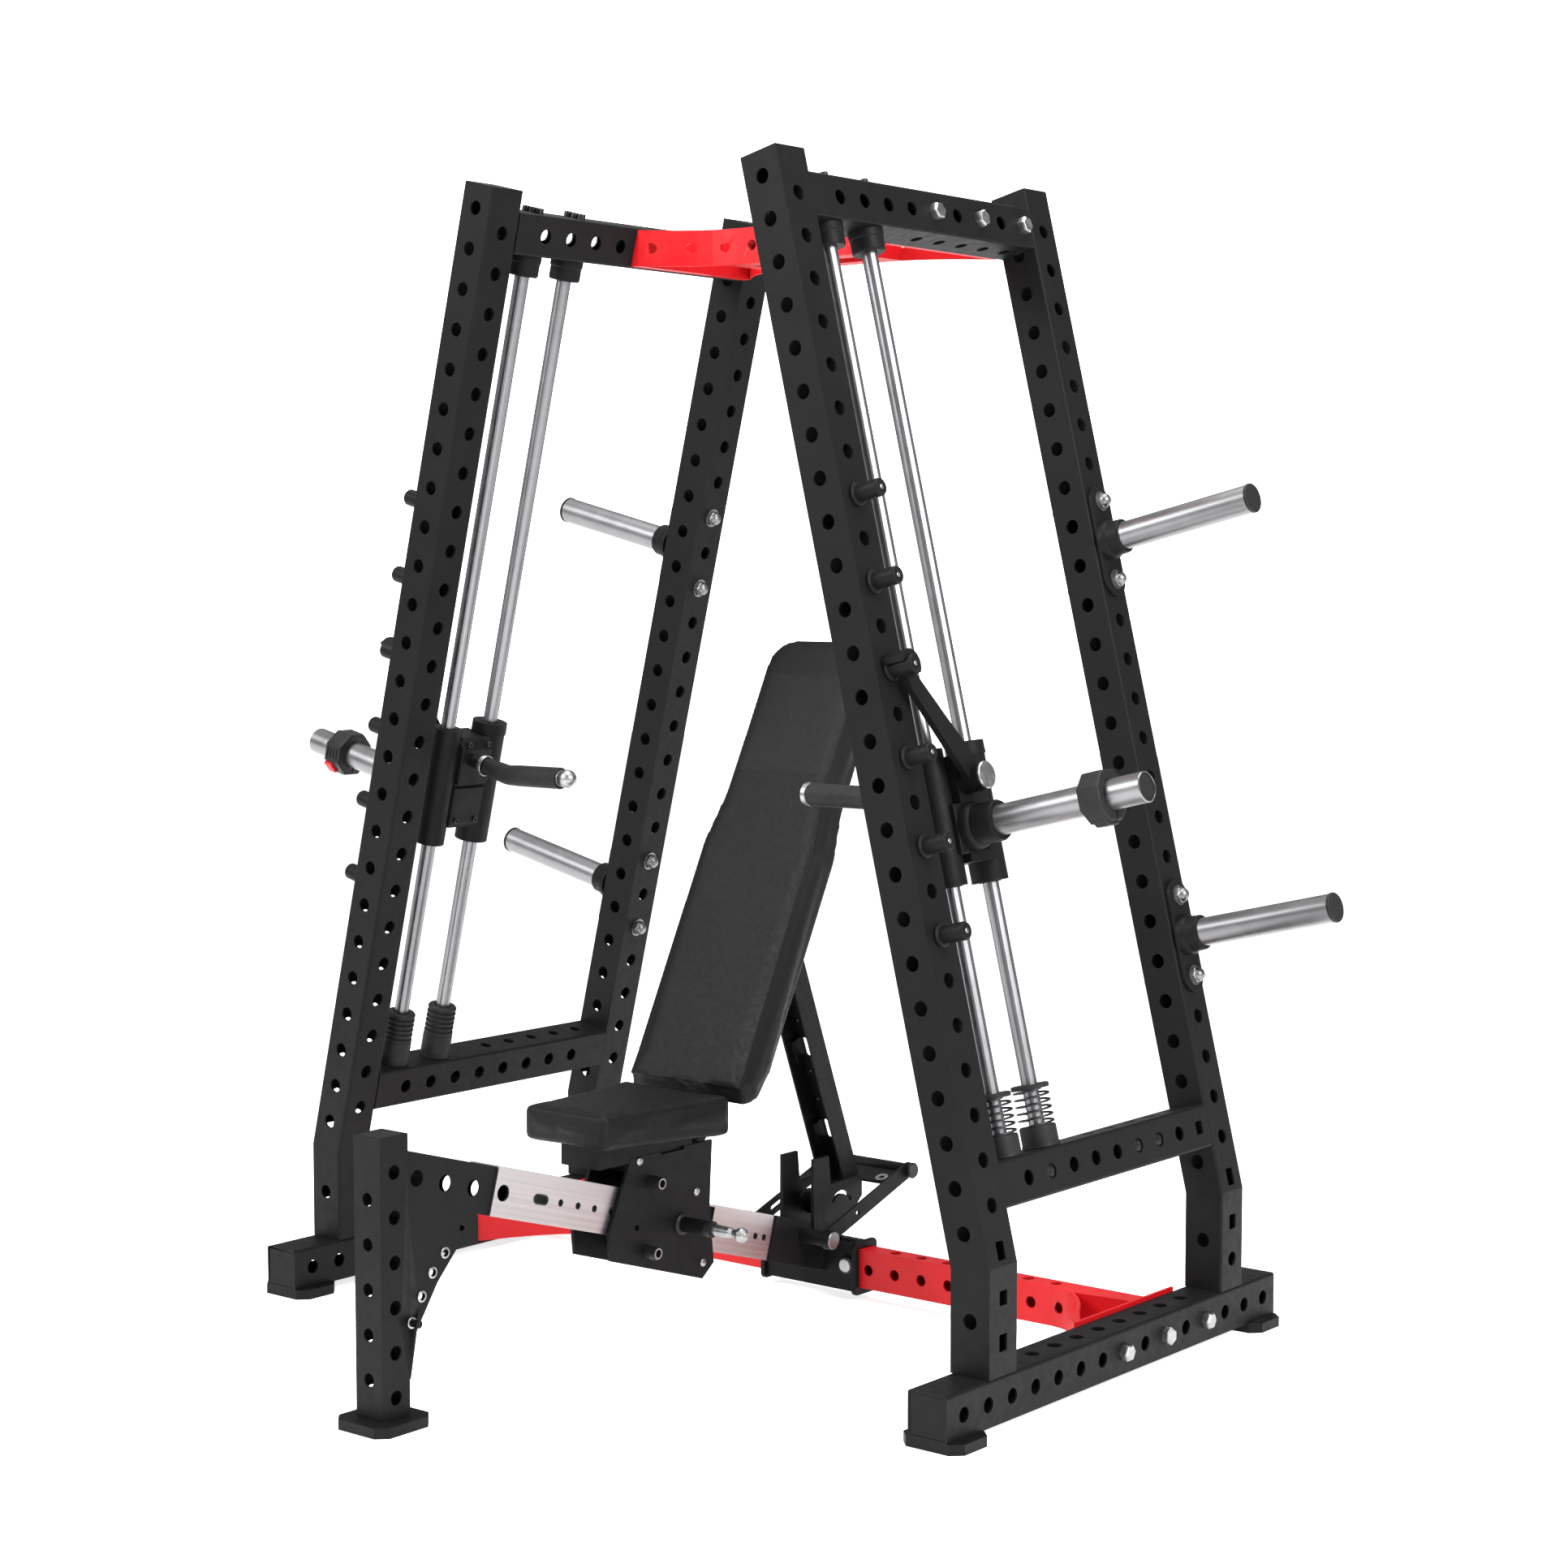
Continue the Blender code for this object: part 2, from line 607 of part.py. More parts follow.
def hook_handle(name, lean, side):
    path, corner, end, level = handle_path()

    def place(point, shift=0.0):
        spot = point + level * shift
        return (side * (HALF + spot.x), SHAFT_Y, spot.y)

    curve = bpy.data.curves.new("bar", "CURVE")
    curve.dimensions = "3D"
    curve.bevel_depth = SHAFT_R
    curve.bevel_resolution = 4
    curve.use_fill_caps = True
    spline = curve.splines.new("POLY")
    spline.points.add(len(path) - 1)
    for point, spot in zip(spline.points, path):
        point.co = (*place(spot), 1)
    bar = bpy.data.objects.new("bar", curve)
    collection(COLLECTION).objects.link(bar)
    bar = baked(bar)

    def across(length):
        return (side * (HALF + length), SHAFT_Y, SHAFT_D)

    hub = rod(across(HUB_FROM), across(HUB_TO), HUB_R)
    ring = rod(across(RING_FROM), across(RING_TO), RING_R)
    cap = rod(place(end, -CAP_LENGTH), place(end, 0), GRIP_R)
    arm_outline, hood_outline = hook_arm_outlines()
    arm = plate([arm_outline], *sorted(side * (HALF + x) for x in (ARM_FROM, ARM_TO)))
    hood = plate([hood_outline], *sorted(side * (HALF + x) for x in (HOOD_FROM, HOOD_TO)))
    made = join(bar, hub, ring, cap, arm, hood)
    finish(made, name, "black_steel", lean, across(0))


def grip(name, lean, side):
    _, corner, end, level = handle_path()
    start = corner + level * GRIP_START
    length = (end - start).length - CAP_LENGTH - GAP
    turn = Matrix.Rotation(-side * (pi / 2 - LEAN), 4, "Y")
    ring = turned(ring_profile(GRIP_BORE_R, GRIP_R, 0, length), 24)
    spot = (side * (HALF + start.x), SHAFT_Y, start.y)
    finish(moved(ring, Matrix.Translation(spot) @ turn), name, "rubber", lean)


# ---------------------------------------------------------------- cross members

def mirrored_outline(right_half):
    """Close an outline whose right half runs from front to rear."""
    return right_half + [(-x, y) for x, y in reversed(right_half)]


def flare(x_from, y_from, x_to, y_to, steps=6):
    """A smooth curve that leaves its first point along X and turns towards its second."""
    points = []
    for step in range(steps + 1):
        t = step / steps
        points.append((x_from + (x_to - x_from) * t, y_from + (y_to - y_from) * t * t))
    return points


def bottom_cross_member():
    end_x = BASE_X - HALF - GAP
    front, rear = BOTTOM_FLANGE_Y
    low, high = BOTTOM_LOW_Z, BOTTOM_HIGH_Z
    level = Matrix.Identity(4)
    curve = flare(BOTTOM_FLARE_X, BOTTOM_FRONT_Y, end_x - 0.012, front + 0.004)
    outer = curve + [(end_x - 0.004, front), (end_x, front + 0.004), (end_x, rear),
                     (end_x - SHEET, rear), (end_x - SHEET, BOTTOM_REAR_Y)]
    inner_x = end_x - SHEET
    inner = [(x + 0.003, y + SHEET + 0.001) for x, y in curve[2:-1]] + [
        (inner_x, front + 0.020), (inner_x, BOTTOM_FRONT_Y)]
    inner = [(min(x, inner_x), min(y, BOTTOM_FRONT_Y)) for x, y in inner]
    body = plate([mirrored_outline(outer), inner, [(-x, y) for x, y in reversed(inner)]], low, high, level)
    reach = end_x - 0.010
    hollow = box((-reach, BOTTOM_FRONT_Y + WALL, low + WALL), (reach, BOTTOM_REAR_Y + 0.010, high - WALL))
    finish(cut(body, hollow), "bottom_cross_member", "red_steel")


def top_cross_member():
    face_x, middle_z = on_lean(-HALF - GAP, TOP_BEAM_D)
    low, high = middle_z - TOP_HEIGHT / 2, middle_z + TOP_HEIGHT / 2
    front, rear = TOP_FLANGE_Y
    far = face_x + 0.030
    start = TOP_STRAIGHT_X
    curve_front = flare(start, TOP_FRONT_Y, face_x - 0.010, front + 0.004)
    curve_rear = flare(start, TOP_REAR_Y, face_x - 0.010, rear - 0.004)
    outer = curve_front + [(far, front), (far, rear)] + list(reversed(curve_rear))
    rib = start + 0.030
    window = ([(rib, TOP_FRONT_Y + 0.004)] + [(x, y + SHEET) for x, y in curve_front if x > rib + 0.01]
              + [(face_x - 0.014, front + 0.016), (face_x - 0.014, rear - 0.016)]
              + [(x, y - SHEET) for x, y in reversed(curve_rear) if x > rib + 0.01]
              + [(rib, TOP_REAR_Y - 0.004)])
    window = [(min(x, face_x - 0.014), y) for x, y in window]
    body = plate([mirrored_outline(outer), window, [(-x, y) for x, y in reversed(window)]],
                 low, high, Matrix.Identity(4))
    middle_y = (TOP_FRONT_Y + TOP_REAR_Y) / 2
    groove = box((-start, middle_y - 0.030, low - 0.010), (start, middle_y + 0.030, low + 0.040))
    ends = []
    for side in (1, -1):
        end = box((-0.1, front - 0.02, -0.2), (0.1, rear + 0.02, 0.2))
        tilt = Matrix.Rotation(-side * LEAN, 4, "Y")
        shift = Matrix.Translation((side * 0.1, 0, 0))
        ends.append(moved(end, Matrix.Translation((side * face_x, 0, middle_z)) @ tilt @ shift))
    finish(cut(body, groove, *ends), "top_cross_member", "red_steel")


# ---------------------------------------------------------------- bench

def on_rail(along, up):
    """Y and Z of a point given by its length down the rail and height over the mid-line."""
    return (RAIL_START[0] + along * cos(RAIL_SLOPE) + up * sin(RAIL_SLOPE),
            RAIL_START[1] - along * sin(RAIL_SLOPE) + up * cos(RAIL_SLOPE))


def rail_strip(start, end, low, high):
    """Outline of a stretch of the rail, in Y and Z."""
    return [on_rail(start, low), on_rail(end, low), on_rail(end, high), on_rail(start, high)]


def bench_frame():
    half, inner = BENCH_HALF, BENCH_HALF - BENCH_WALL
    tall = RAIL_HEIGHT / 2
    post = box((-half, POST_Y - half, PLATE_T), (half, POST_Y + half, POST_TOP_Z))
    foot = foot_plate(0, POST_Y, FOOT_WIDTH)
    rail = plate([rail_strip(0, RAIL_LENGTH, -tall, tall)], -half + GAP, half - GAP)
    rear_y = POST_Y + half - 0.002
    outline = [on_rail(0.160, 0), *GUSSET_EDGE, (rear_y, GUSSET_EDGE[-1][1]), on_rail(0.016, 0)]
    gussets = [plate([outline], *sorted((side * (half - 2 * GAP), side * (half - GUSSET_T))))
               for side in (1, -1)]
    post_bore = box((-inner, POST_Y - inner, 0.030), (inner, POST_Y + inner, POST_TOP_Z + 0.01))
    rail_bore = plate([rail_strip(0.060, RAIL_LENGTH + 0.01, BENCH_WALL - tall, tall - BENCH_WALL)],
                      -inner, inner)
    made = cut(join(post, foot, rail, *gussets), post_bore, rail_bore)
    finish(made, "bench_frame", "black_steel")


def slide_strip():
    """A channel over the rail whose sides are cut away under the seat."""
    half = BENCH_HALF + GAP
    outer = half + STRIP_T
    low, top = -RAIL_HEIGHT / 2, RAIL_HEIGHT / 2 + GAP
    start, end = STRIP_FRONT[0], STRIP_REAR[1]
    skin = plate([rail_strip(start, end, low, top + STRIP_TOP_T)], -outer, outer)
    inside = plate([rail_strip(start - 0.01, end + 0.01, low - 0.01, top)], -half, half)
    window_front, window_rear = STRIP_FRONT[1], STRIP_REAR[0]
    window_top, corner = top - 0.002, 0.030
    rounded = arc((window_front - corner, window_top - corner), corner, 90, 0, 5)
    outline = [(window_front, low - 0.01), (window_rear, low - 0.01), (window_rear, window_top)] + rounded
    window = plate([[on_rail(*point) for point in outline]], -outer - 0.01, outer + 0.01)
    finish(cut(skin, inside, window), "slide_strip", "stainless")


def seat_underside(y):
    """Height of the seat pad's underside."""
    part = (y - SEAT_FRONT_Y) / (SEAT_REAR_Y - SEAT_FRONT_Y)
    return SEAT_FRONT_Z[0] + (SEAT_REAR_Z[0] - SEAT_FRONT_Z[0]) * part


def seat_carriage():
    near, far = SEAT_PLATE_X
    pin_spot = on_rail(SEAT_PIN_S, 0)
    into = 2 * WELD
    plates = [plate([SEAT_PLATE_EDGE], *sorted((side * near, side * far))) for side in (1, -1)]
    spacers = [rod((-near - into, *spot), (near + into, *spot), SEAT_SPACER_R, 16)
               for spot in SEAT_SPACERS]
    hinge = rod((-near - into, *SEAT_HINGE), (near + into, *SEAT_HINGE), HINGE_PIN_R, 16)
    front, rear = SEAT_TABLE_Y
    edge = [(front, SEAT_TABLE_Z), (rear, SEAT_TABLE_Z), (rear, seat_underside(rear) - GAP),
            (front, seat_underside(front) - GAP)]
    table = plate([edge], WELD - far, far - WELD)
    barrel = rod((far - WELD, *pin_spot), (BARREL_END_X, *pin_spot), BARREL_R, 20)
    bore = rod((near - BARREL_R, *pin_spot), (BARREL_END_X + BARREL_R, *pin_spot),
               SEAT_PIN_R + BORE_GAP, 20)
    made = cut(join(plates[0], plates[1], table, hinge, barrel, *spacers), bore)
    finish(made, "seat_carriage", "black_steel", None, (0, *on_rail(SEAT_PIN_S, 0)))


def seat_pin():
    y, z = on_rail(SEAT_PIN_S, 0)
    ball = 0.013
    end = SEAT_PIN_END_X
    centre = end - ball
    start = BENCH_HALF + GAP + STRIP_T + 0.0004
    neck = 0.007
    profile = [(0, start), (SEAT_PIN_R, start), (SEAT_PIN_R, BARREL_END_X + 0.004),
               (0.0105, BARREL_END_X + 0.008), (0.0095, centre - 0.026), (neck, centre - 0.018)]
    for angle in range(-50, 91, 20):
        profile.append((ball * cos(radians(angle)), centre + ball * sin(radians(angle))))
    profile[-1] = (0, end)
    turn = Matrix.Rotation(pi / 2, 4, "Y")
    made = moved(turned(profile, 20), Matrix.Translation((0, y, z)) @ turn)
    finish(made, "seat_pin", "chrome", None, (0, y, z))


def seat_pad():
    made = box((-1, -1, -1), (1, 1, 1))
    for vertex in made.data.vertices:
        x, y, z = vertex.co
        rear = y > 0
        vertex.co.x = x * (SEAT_REAR_WIDTH if rear else SEAT_FRONT_WIDTH) / 2
        vertex.co.y = SEAT_REAR_Y if rear else SEAT_FRONT_Y
        vertex.co.z = (SEAT_REAR_Z if rear else SEAT_FRONT_Z)[z > 0]
    finish(bevelled(made, 0.010), "seat_pad", "vinyl")


def on_back(along, behind):
    """Y and Z of a point given up the back pad and behind its front face."""
    return (BACK_CORNER[0] + along * sin(BACK_LEAN) + behind * cos(BACK_LEAN),
            BACK_CORNER[1] + along * cos(BACK_LEAN) - behind * sin(BACK_LEAN))


def back_pad():
    wide, narrow, corner = BACK_HALF_WIDTH, BACK_TOP_HALF_WIDTH, BACK_CORNER_R
    shoulder_low, shoulder_top = BACK_SHOULDERS
    right = ([(wide, BACK_END), (wide, shoulder_low), (narrow, shoulder_top)]
             + arc((narrow - corner, BACK_LENGTH - corner), corner, 0, 90, 6))
    plane = Matrix.Translation((0, *BACK_CORNER)) @ Matrix.Rotation(pi / 2 - BACK_LEAN, 4, "X")
    pad = bevelled(plate([mirrored_outline(right)], -BACK_THICKNESS, 0, plane), 0.008, 3, 50)
    far = 2 * wide
    seat_side = box((-far, -1, 0), (far, *BACK_SEAT_GAP))
    underside = box((-far, -1, 0), (far, 1, BACK_UNDERSIDE_Z))
    rear_corner = plate([BACK_REAR_CUT], -far, far)
    finish(cut(pad, seat_side, underside, rear_corner), "back_pad", "vinyl", None, (0, *SEAT_HINGE))


def back_bracket():
    behind = BACK_THICKNESS + GAP
    hinge = Vector(SEAT_HINGE) - Vector(BACK_CORNER)
    hinge_along = hinge.x * sin(BACK_LEAN) + hinge.y * cos(BACK_LEAN)
    hinge_behind = hinge.x * cos(BACK_LEAN) - hinge.y * sin(BACK_LEAN)
    outline = [on_back(hinge_along - 0.014, hinge_behind - 0.011), on_back(-0.020, behind),
               on_back(BRACKET_LENGTH, behind), on_back(BRACKET_LENGTH, behind + BRACKET_T),
               on_back(-0.020, behind + BRACKET_T),
               on_back(hinge_along - 0.014, hinge_behind + 0.011)]
    bar = plate([outline], -0.022, 0.022)
    top = Vector(STRUT_TOP)
    ear_outline = capsule((top - Vector((cos(BACK_LEAN), -sin(BACK_LEAN))) * 0.017)[:], STRUT_TOP, 0.011)
    ears = [plate([ear_outline], *sorted((side * 0.015, side * 0.021))) for side in (1, -1)]
    pin = rod((-0.036, *STRUT_TOP), (0.036, *STRUT_TOP), HINGE_PIN_R, 18)
    hole = rod((-0.03, *SEAT_HINGE), (0.03, *SEAT_HINGE), HINGE_PIN_R + BORE_GAP, 16)
    finish(join(cut(bar, hole), *ears, pin), "back_bracket", "black_steel", None, (0, *SEAT_HINGE))


def strut():
    foot, top = Vector(STRUT_FOOT), Vector(STRUT_TOP)
    along = (top - foot).normalized()
    rearwards = Vector((along.y, -along.x))
    length = (top - foot).length
    deep = STRUT_DEPTH / 2

    def at(height, back):
        point = foot + along * height + rearwards * back
        return (point.x, point.y)

    def block(corners, half_width):
        return plate([[at(*corner) for corner in corners]], -half_width, half_width)

    low, top_front, top_back = -0.020, length + 0.002, length + 0.030
    inner = STRUT_HALF_WIDTH - STRUT_SHEET
    web = deep - STRUT_SHEET
    channel = block([(low, -deep), (top_front, -deep), (top_back, deep), (low, deep)], STRUT_HALF_WIDTH)
    inside = block([(low - 0.01, -deep - 0.01), (top_back, -deep - 0.01), (top_back, web),
                    (low - 0.01, web)], inner)
    mouth = block([(length - 0.035, 0), (top_back + 0.01, 0), (top_back + 0.01, deep + 0.01),
                   (length - 0.035, deep + 0.01)], inner - WELD)
    reach = 0.05
    foot_hole = rod((-reach, *STRUT_FOOT), (reach, *STRUT_FOOT), HINGE_PIN_R + BORE_GAP, 16)
    top_hole = rod((-reach, *STRUT_TOP), (reach, *STRUT_TOP), STRUT_SLOT_R, 20)
    made = cut(channel, inside, mouth, foot_hole, top_hole)
    finish(made, "strut", "black_steel", None, (0, *STRUT_FOOT))


def yoke_lever():
    arm_outline = capsule(YOKE_PIVOT, YOKE_END, YOKE_HALF)
    pivot_hole = arc(YOKE_PIVOT, 0.0090, 0, 330, 11)
    arms = [plate([arm_outline, pivot_hole], *sorted((side * YOKE_X[0], side * YOKE_X[1])))
            for side in (1, -1)]
    tube = rod((-YOKE_X[1] - 0.008, *YOKE_END), (YOKE_X[1] + 0.008, *YOKE_END), 0.012, 20)
    run = Vector(YOKE_END) - Vector(YOKE_PIVOT)
    web = [tuple(Vector(YOKE_PIVOT) + run * share + Vector((0, rise)))
           for share, rise in ((0.78, -0.002), (1.0, -0.002), (1.0, 0.002), (0.78, 0.002))]
    sheet = plate([web], -YOKE_X[0] - 0.001, YOKE_X[0] + 0.001)
    finish(join(arms[0], arms[1], tube, sheet), "yoke_lever", "black_steel", None, (0, *YOKE_PIVOT))


def saddle_bracket():
    half = RECEIVER_HALF_WIDTH
    tall = RAIL_HEIGHT / 2
    start = RAIL_LENGTH + GAP + 0.0005
    front_top, front_low = on_rail(start, tall + 0.003), on_rail(start, -tall)
    box_front, box_rear = BOTTOM_FRONT_Y - 0.006, BOTTOM_REAR_Y + 0.006
    drop = tan(RAIL_SLOPE) * (box_front + 0.003 - front_top[0])
    low_drop = tan(RAIL_SLOPE) * (box_front + 0.003 - front_low[0])
    receiver = plate([[front_low, (box_front + 0.003, front_low[1] - low_drop),
                       (box_front + 0.003, front_top[1] - drop), front_top]], -half, half)
    shell = box((-SADDLE_HALF_WIDTH, box_front, BOTTOM_LOW_Z - 0.008),
                (SADDLE_HALF_WIDTH, box_rear, BOTTOM_HIGH_Z + 0.008))
    clear = 0.0004
    channel = box((-0.2, BOTTOM_FRONT_Y - clear, BOTTOM_LOW_Z - clear),
                  (0.2, BOTTOM_REAR_Y + clear, BOTTOM_HIGH_Z + clear))
    inner, outer = LUG_SLOT_RADII
    slot = (arc(ROLLER_AT, outer, *LUG_SLOT_ANGLES, 10)
            + arc(ROLLER_AT, inner, *reversed(LUG_SLOT_ANGLES), 10))
    lugs = [plate([LUG_EDGE, slot], *sorted((side * LUG_X[0], side * LUG_X[1]))) for side in (1, -1)]
    reach = LUG_X[0] + 0.002
    roller = rod((-reach, *ROLLER_AT), (reach, *ROLLER_AT), ROLLER_R)
    foot_pin = rod((-reach, *STRUT_FOOT), (reach, *STRUT_FOOT), HINGE_PIN_R, 16)
    pivot = rod((-YOKE_X[1] - 0.004, *YOKE_PIVOT), (YOKE_X[1] + 0.004, *YOKE_PIVOT), PIVOT_R, 20)
    knobs = [rod((side * (YOKE_X[1] + WELD), *YOKE_PIVOT), (side * KNOB_END_X, *YOKE_PIVOT), KNOB_R)
             for side in (1, -1)]
    spacers = [rod((side * (half - 2 * WELD), *YOKE_PIVOT), (side * (YOKE_X[0] - WELD), *YOKE_PIVOT),
                   PIVOT_SPACER_R) for side in (1, -1)]
    made = join(receiver, cut(shell, channel), *lugs, roller, foot_pin, pivot, *knobs, *spacers)
    finish(made, "saddle_bracket", "black_steel", None, (0, *YOKE_PIVOT))


# ---------------------------------------------------------------- build

def side_frame(side_name, side, lean):
    base_beam(f"base_beam_{side_name}", side)
    upright(f"upright_front_{side_name}", side, FRAME_Y - UPRIGHT_Y)
    upright(f"upright_rear_{side_name}", side, FRAME_Y + UPRIGHT_Y)
    frame_beam(f"top_beam_{side_name}", lean, TOP_BEAM_D)
    frame_beam(f"lower_beam_{side_name}", lean, LOWER_BEAM_D)
    for place, y in (("front", FRONT_ROD_Y), ("rear", REAR_ROD_Y)):
        guide_rod(f"guide_rod_{place}_{side_name}", lean, y)
        rod_collar(f"rod_collar_{place}_{side_name}", lean, y)
        buffer(f"spring_buffer_{place}_{side_name}", lean, y)
    for number, hole in enumerate(PIN_HOLES, 1):
        lock_pin(f"lock_pin_{side_name}_{number}", lean, side, hole_d(hole))
    for place, hole in PEG_HOLES.items():
        storage_peg(f"storage_peg_{place}_{side_name}", lean, side, hole_d(hole))


def lifting_set(side_name, side, lean):
    carriage(f"carriage_{side_name}", lean, side)
    weight_sleeve(f"weight_sleeve_{side_name}", lean, side)
    sleeve_clip(f"sleeve_clip_{side_name}", lean, side)
    hook_handle(f"hook_handle_{side_name}", lean, side)
    grip(f"grip_{side_name}", lean, side)


def bench():
    bench_frame()
    slide_strip()
    seat_carriage()
    seat_pin()
    seat_pad()
    back_pad()
    back_bracket()
    strut()
    yoke_lever()
    saddle_bracket()


def main():
    clear_scene()
    for side_name, side in SIDES:
        lean = empty(f"lean_{side_name}", (side * BASE_X, 0, BEND_Z), (0, -side * LEAN, 0))
        side_frame(side_name, side, lean)
        lifting_set(side_name, side, lean)
    bottom_cross_member()
    top_cross_member()
    bench()


main()
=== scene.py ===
"""Looks for the smith machine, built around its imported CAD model.

Metres, +Z up, in the CAD model's frame. Most shown pieces start as a copy of a CAD solid, which is
then rounded, perforated and given its fittings. A side frame leans inwards above a bend, so places
on it are given as lengths outwards from the tube's centre line, along Y, and up the lean.
"""
from math import cos, pi, radians, sin, tan

import bmesh
import bpy
from mathutils import Matrix, Vector


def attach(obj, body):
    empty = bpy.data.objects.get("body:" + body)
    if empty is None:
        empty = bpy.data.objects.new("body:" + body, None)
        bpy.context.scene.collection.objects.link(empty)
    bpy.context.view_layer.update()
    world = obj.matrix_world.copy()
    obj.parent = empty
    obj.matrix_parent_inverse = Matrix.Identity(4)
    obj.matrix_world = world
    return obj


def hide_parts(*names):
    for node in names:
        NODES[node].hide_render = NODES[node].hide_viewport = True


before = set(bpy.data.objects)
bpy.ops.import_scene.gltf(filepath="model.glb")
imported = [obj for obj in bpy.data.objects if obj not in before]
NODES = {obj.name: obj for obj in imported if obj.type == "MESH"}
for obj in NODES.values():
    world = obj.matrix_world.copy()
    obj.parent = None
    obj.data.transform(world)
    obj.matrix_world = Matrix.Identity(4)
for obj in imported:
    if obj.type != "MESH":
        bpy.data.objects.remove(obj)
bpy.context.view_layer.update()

SIDES = (("right", 1), ("left", -1))

# Side frames
TUBE = 0.075
HALF = TUBE / 2
BASE_X = 0.7456
FRAME_Y = 0.2482
UPRIGHT_Y = 0.3526
BASE_FRONT, BASE_REAR = FRAME_Y - 0.5026, FRAME_Y + 0.5026
BASE_LOW, BASE_TOP = 0.016, 0.091
LEAN = radians(13.69)
BEND_Z = 0.262
LEAN_LENGTH = 1.8165
TOP_BEAM_D = 1.742
LOWER_BEAM_D = 0.117
HOLE_PITCH = 0.0716
FRONT_HOLE_D = 1.774
SIDE_HOLE_D = 1.7382
LEAN_HOLES = 25
HOLE_R = 0.0128
CORNER_R = 0.005
ROD_R = 0.0135
ROD_Y = {"front": FRAME_Y - 0.248, "rear": FRAME_Y - 0.139}
PIN_HOLES = (7, 9, 11, 13, 15, 17)
PEG_HOLES = {"upper": 8, "lower": 18}
PEG_LENGTH = 0.31

# Carriages
SHAFT_Y, SHAFT_D = FRAME_Y - 0.205, 0.764
SLEEVE_Y, SLEEVE_D = FRAME_Y - 0.2115, 0.687
SLEEVE_LENGTH = 0.34
CLIP_AT = 0.255
STUB_END, HANDLE_END = -0.17, -0.331

# Bench
POST_Y = -0.6918
RAIL_SLOPE = radians(16.36)
RAIL_START = (POST_Y + 0.0154, 0.4032)
BACK_CORNER = (0.0322, 0.455)
BACK_LEAN = radians(27)
BACK_THICKNESS = 0.075
STRUT_TOP = Vector((0.2815, 0.7128))
STRUT_FOOT = Vector((0.4842, 0.193))
YOKE_PIVOT = Vector((0.3252, 0.1265))
YOKE_END = Vector((0.5782, 0.214))

X_AXIS, Y_AXIS, Z_AXIS = Vector((1, 0, 0)), Vector((0, 1, 0)), Vector((0, 0, 1))


# ---------------------------------------------------------------- places

def outwards(side):
    return Vector((side * cos(LEAN), 0, sin(LEAN)))


def upwards(side):
    return Vector((-side * sin(LEAN), 0, cos(LEAN)))


def leaning(side, out, y, d):
    """A point of a side frame: outwards from the tube's centre line, Y, and up the lean."""
    return Vector((side * BASE_X, y, BEND_Z)) + outwards(side) * out + upwards(side) * d


def on_rail(along, up):
    return Vector((0, RAIL_START[0] + along * cos(RAIL_SLOPE) + up * sin(RAIL_SLOPE),
                   RAIL_START[1] - along * sin(RAIL_SLOPE) + up * cos(RAIL_SLOPE)))


def on_back(along, behind):
    return Vector((0, BACK_CORNER[0] + along * sin(BACK_LEAN) + behind * cos(BACK_LEAN),
                   BACK_CORNER[1] + along * cos(BACK_LEAN) - behind * sin(BACK_LEAN)))


def facing(direction, up=Z_AXIS):
    """Turn that sends +Z to a direction and +Y as near as it can to up."""
    z = direction.normalized()
    y = up - z * up.dot(z)
    if y.length < 1e-4:
        y = Y_AXIS - z * Y_AXIS.dot(z)
    y.normalize()
    return Matrix((y.cross(z), y, z)).transposed().to_4x4()


def at(point, direction, up=Z_AXIS):
    return Matrix.Translation(point) @ facing(direction, up)


# ---------------------------------------------------------------- meshes

def loose(work):
    """A working object from a bmesh, outside any collection."""
    bmesh.ops.recalc_face_normals(work, faces=work.faces)
    mesh = bpy.data.meshes.new("work")
    work.to_mesh(mesh)
    work.free()
    return bpy.data.objects.new("work", mesh)


def copied(node):
    """A clean copy of a CAD node's mesh, with flat faces merged."""
    work = bmesh.new()
    work.from_mesh(NODES[node].data)
    bmesh.ops.remove_doubles(work, verts=work.verts, dist=0.00002)
    bmesh.ops.dissolve_limit(work, angle_limit=radians(1.5), verts=work.verts, edges=work.edges)
    return loose(work)


def rounded_length(obj, width, shortest, segments=4):
    """Round only the long edges, as on a rolled tube."""
    work = bmesh.new()
    work.from_mesh(obj.data)
    picked = [e for e in work.edges
              if e.calc_length() > shortest and e.is_manifold and e.calc_face_angle(0) > radians(60)]
    bmesh.ops.bevel(work, geom=picked, offset=width, offset_type="OFFSET", segments=segments,
                    profile=0.5, affect="EDGES", clamp_overlap=True)
    work.to_mesh(obj.data)
    work.free()
    return obj


def with_modifier(obj, kind, **settings):
    bpy.context.scene.collection.objects.link(obj)
    step = obj.modifiers.new("step", kind)
    for name, value in settings.items():
        setattr(step, name, value)
    bpy.context.view_layer.update()
    mesh = bpy.data.meshes.new_from_object(obj.evaluated_get(bpy.context.evaluated_depsgraph_get()))
    obj.modifiers.clear()
    obj.data = mesh
    bpy.context.scene.collection.objects.unlink(obj)
    return obj


def softened(obj, width=0.0012, segments=2, limit=38):
    return with_modifier(obj, "BEVEL", width=width, segments=segments, limit_method="ANGLE",
                         angle_limit=radians(limit), harden_normals=False)


def joined(*objects):
    work = bmesh.new()
    for obj in objects:
        work.from_mesh(obj.data)
    return loose(work)


def drilled(obj, holes):
    """Cut holes, each a closed working object, through a piece."""
    tool = joined(*holes)
    bpy.context.scene.collection.objects.link(tool)
    made = with_modifier(obj, "BOOLEAN", operation="DIFFERENCE", solver="EXACT", object=tool)
    bpy.context.scene.collection.objects.unlink(tool)
    return made


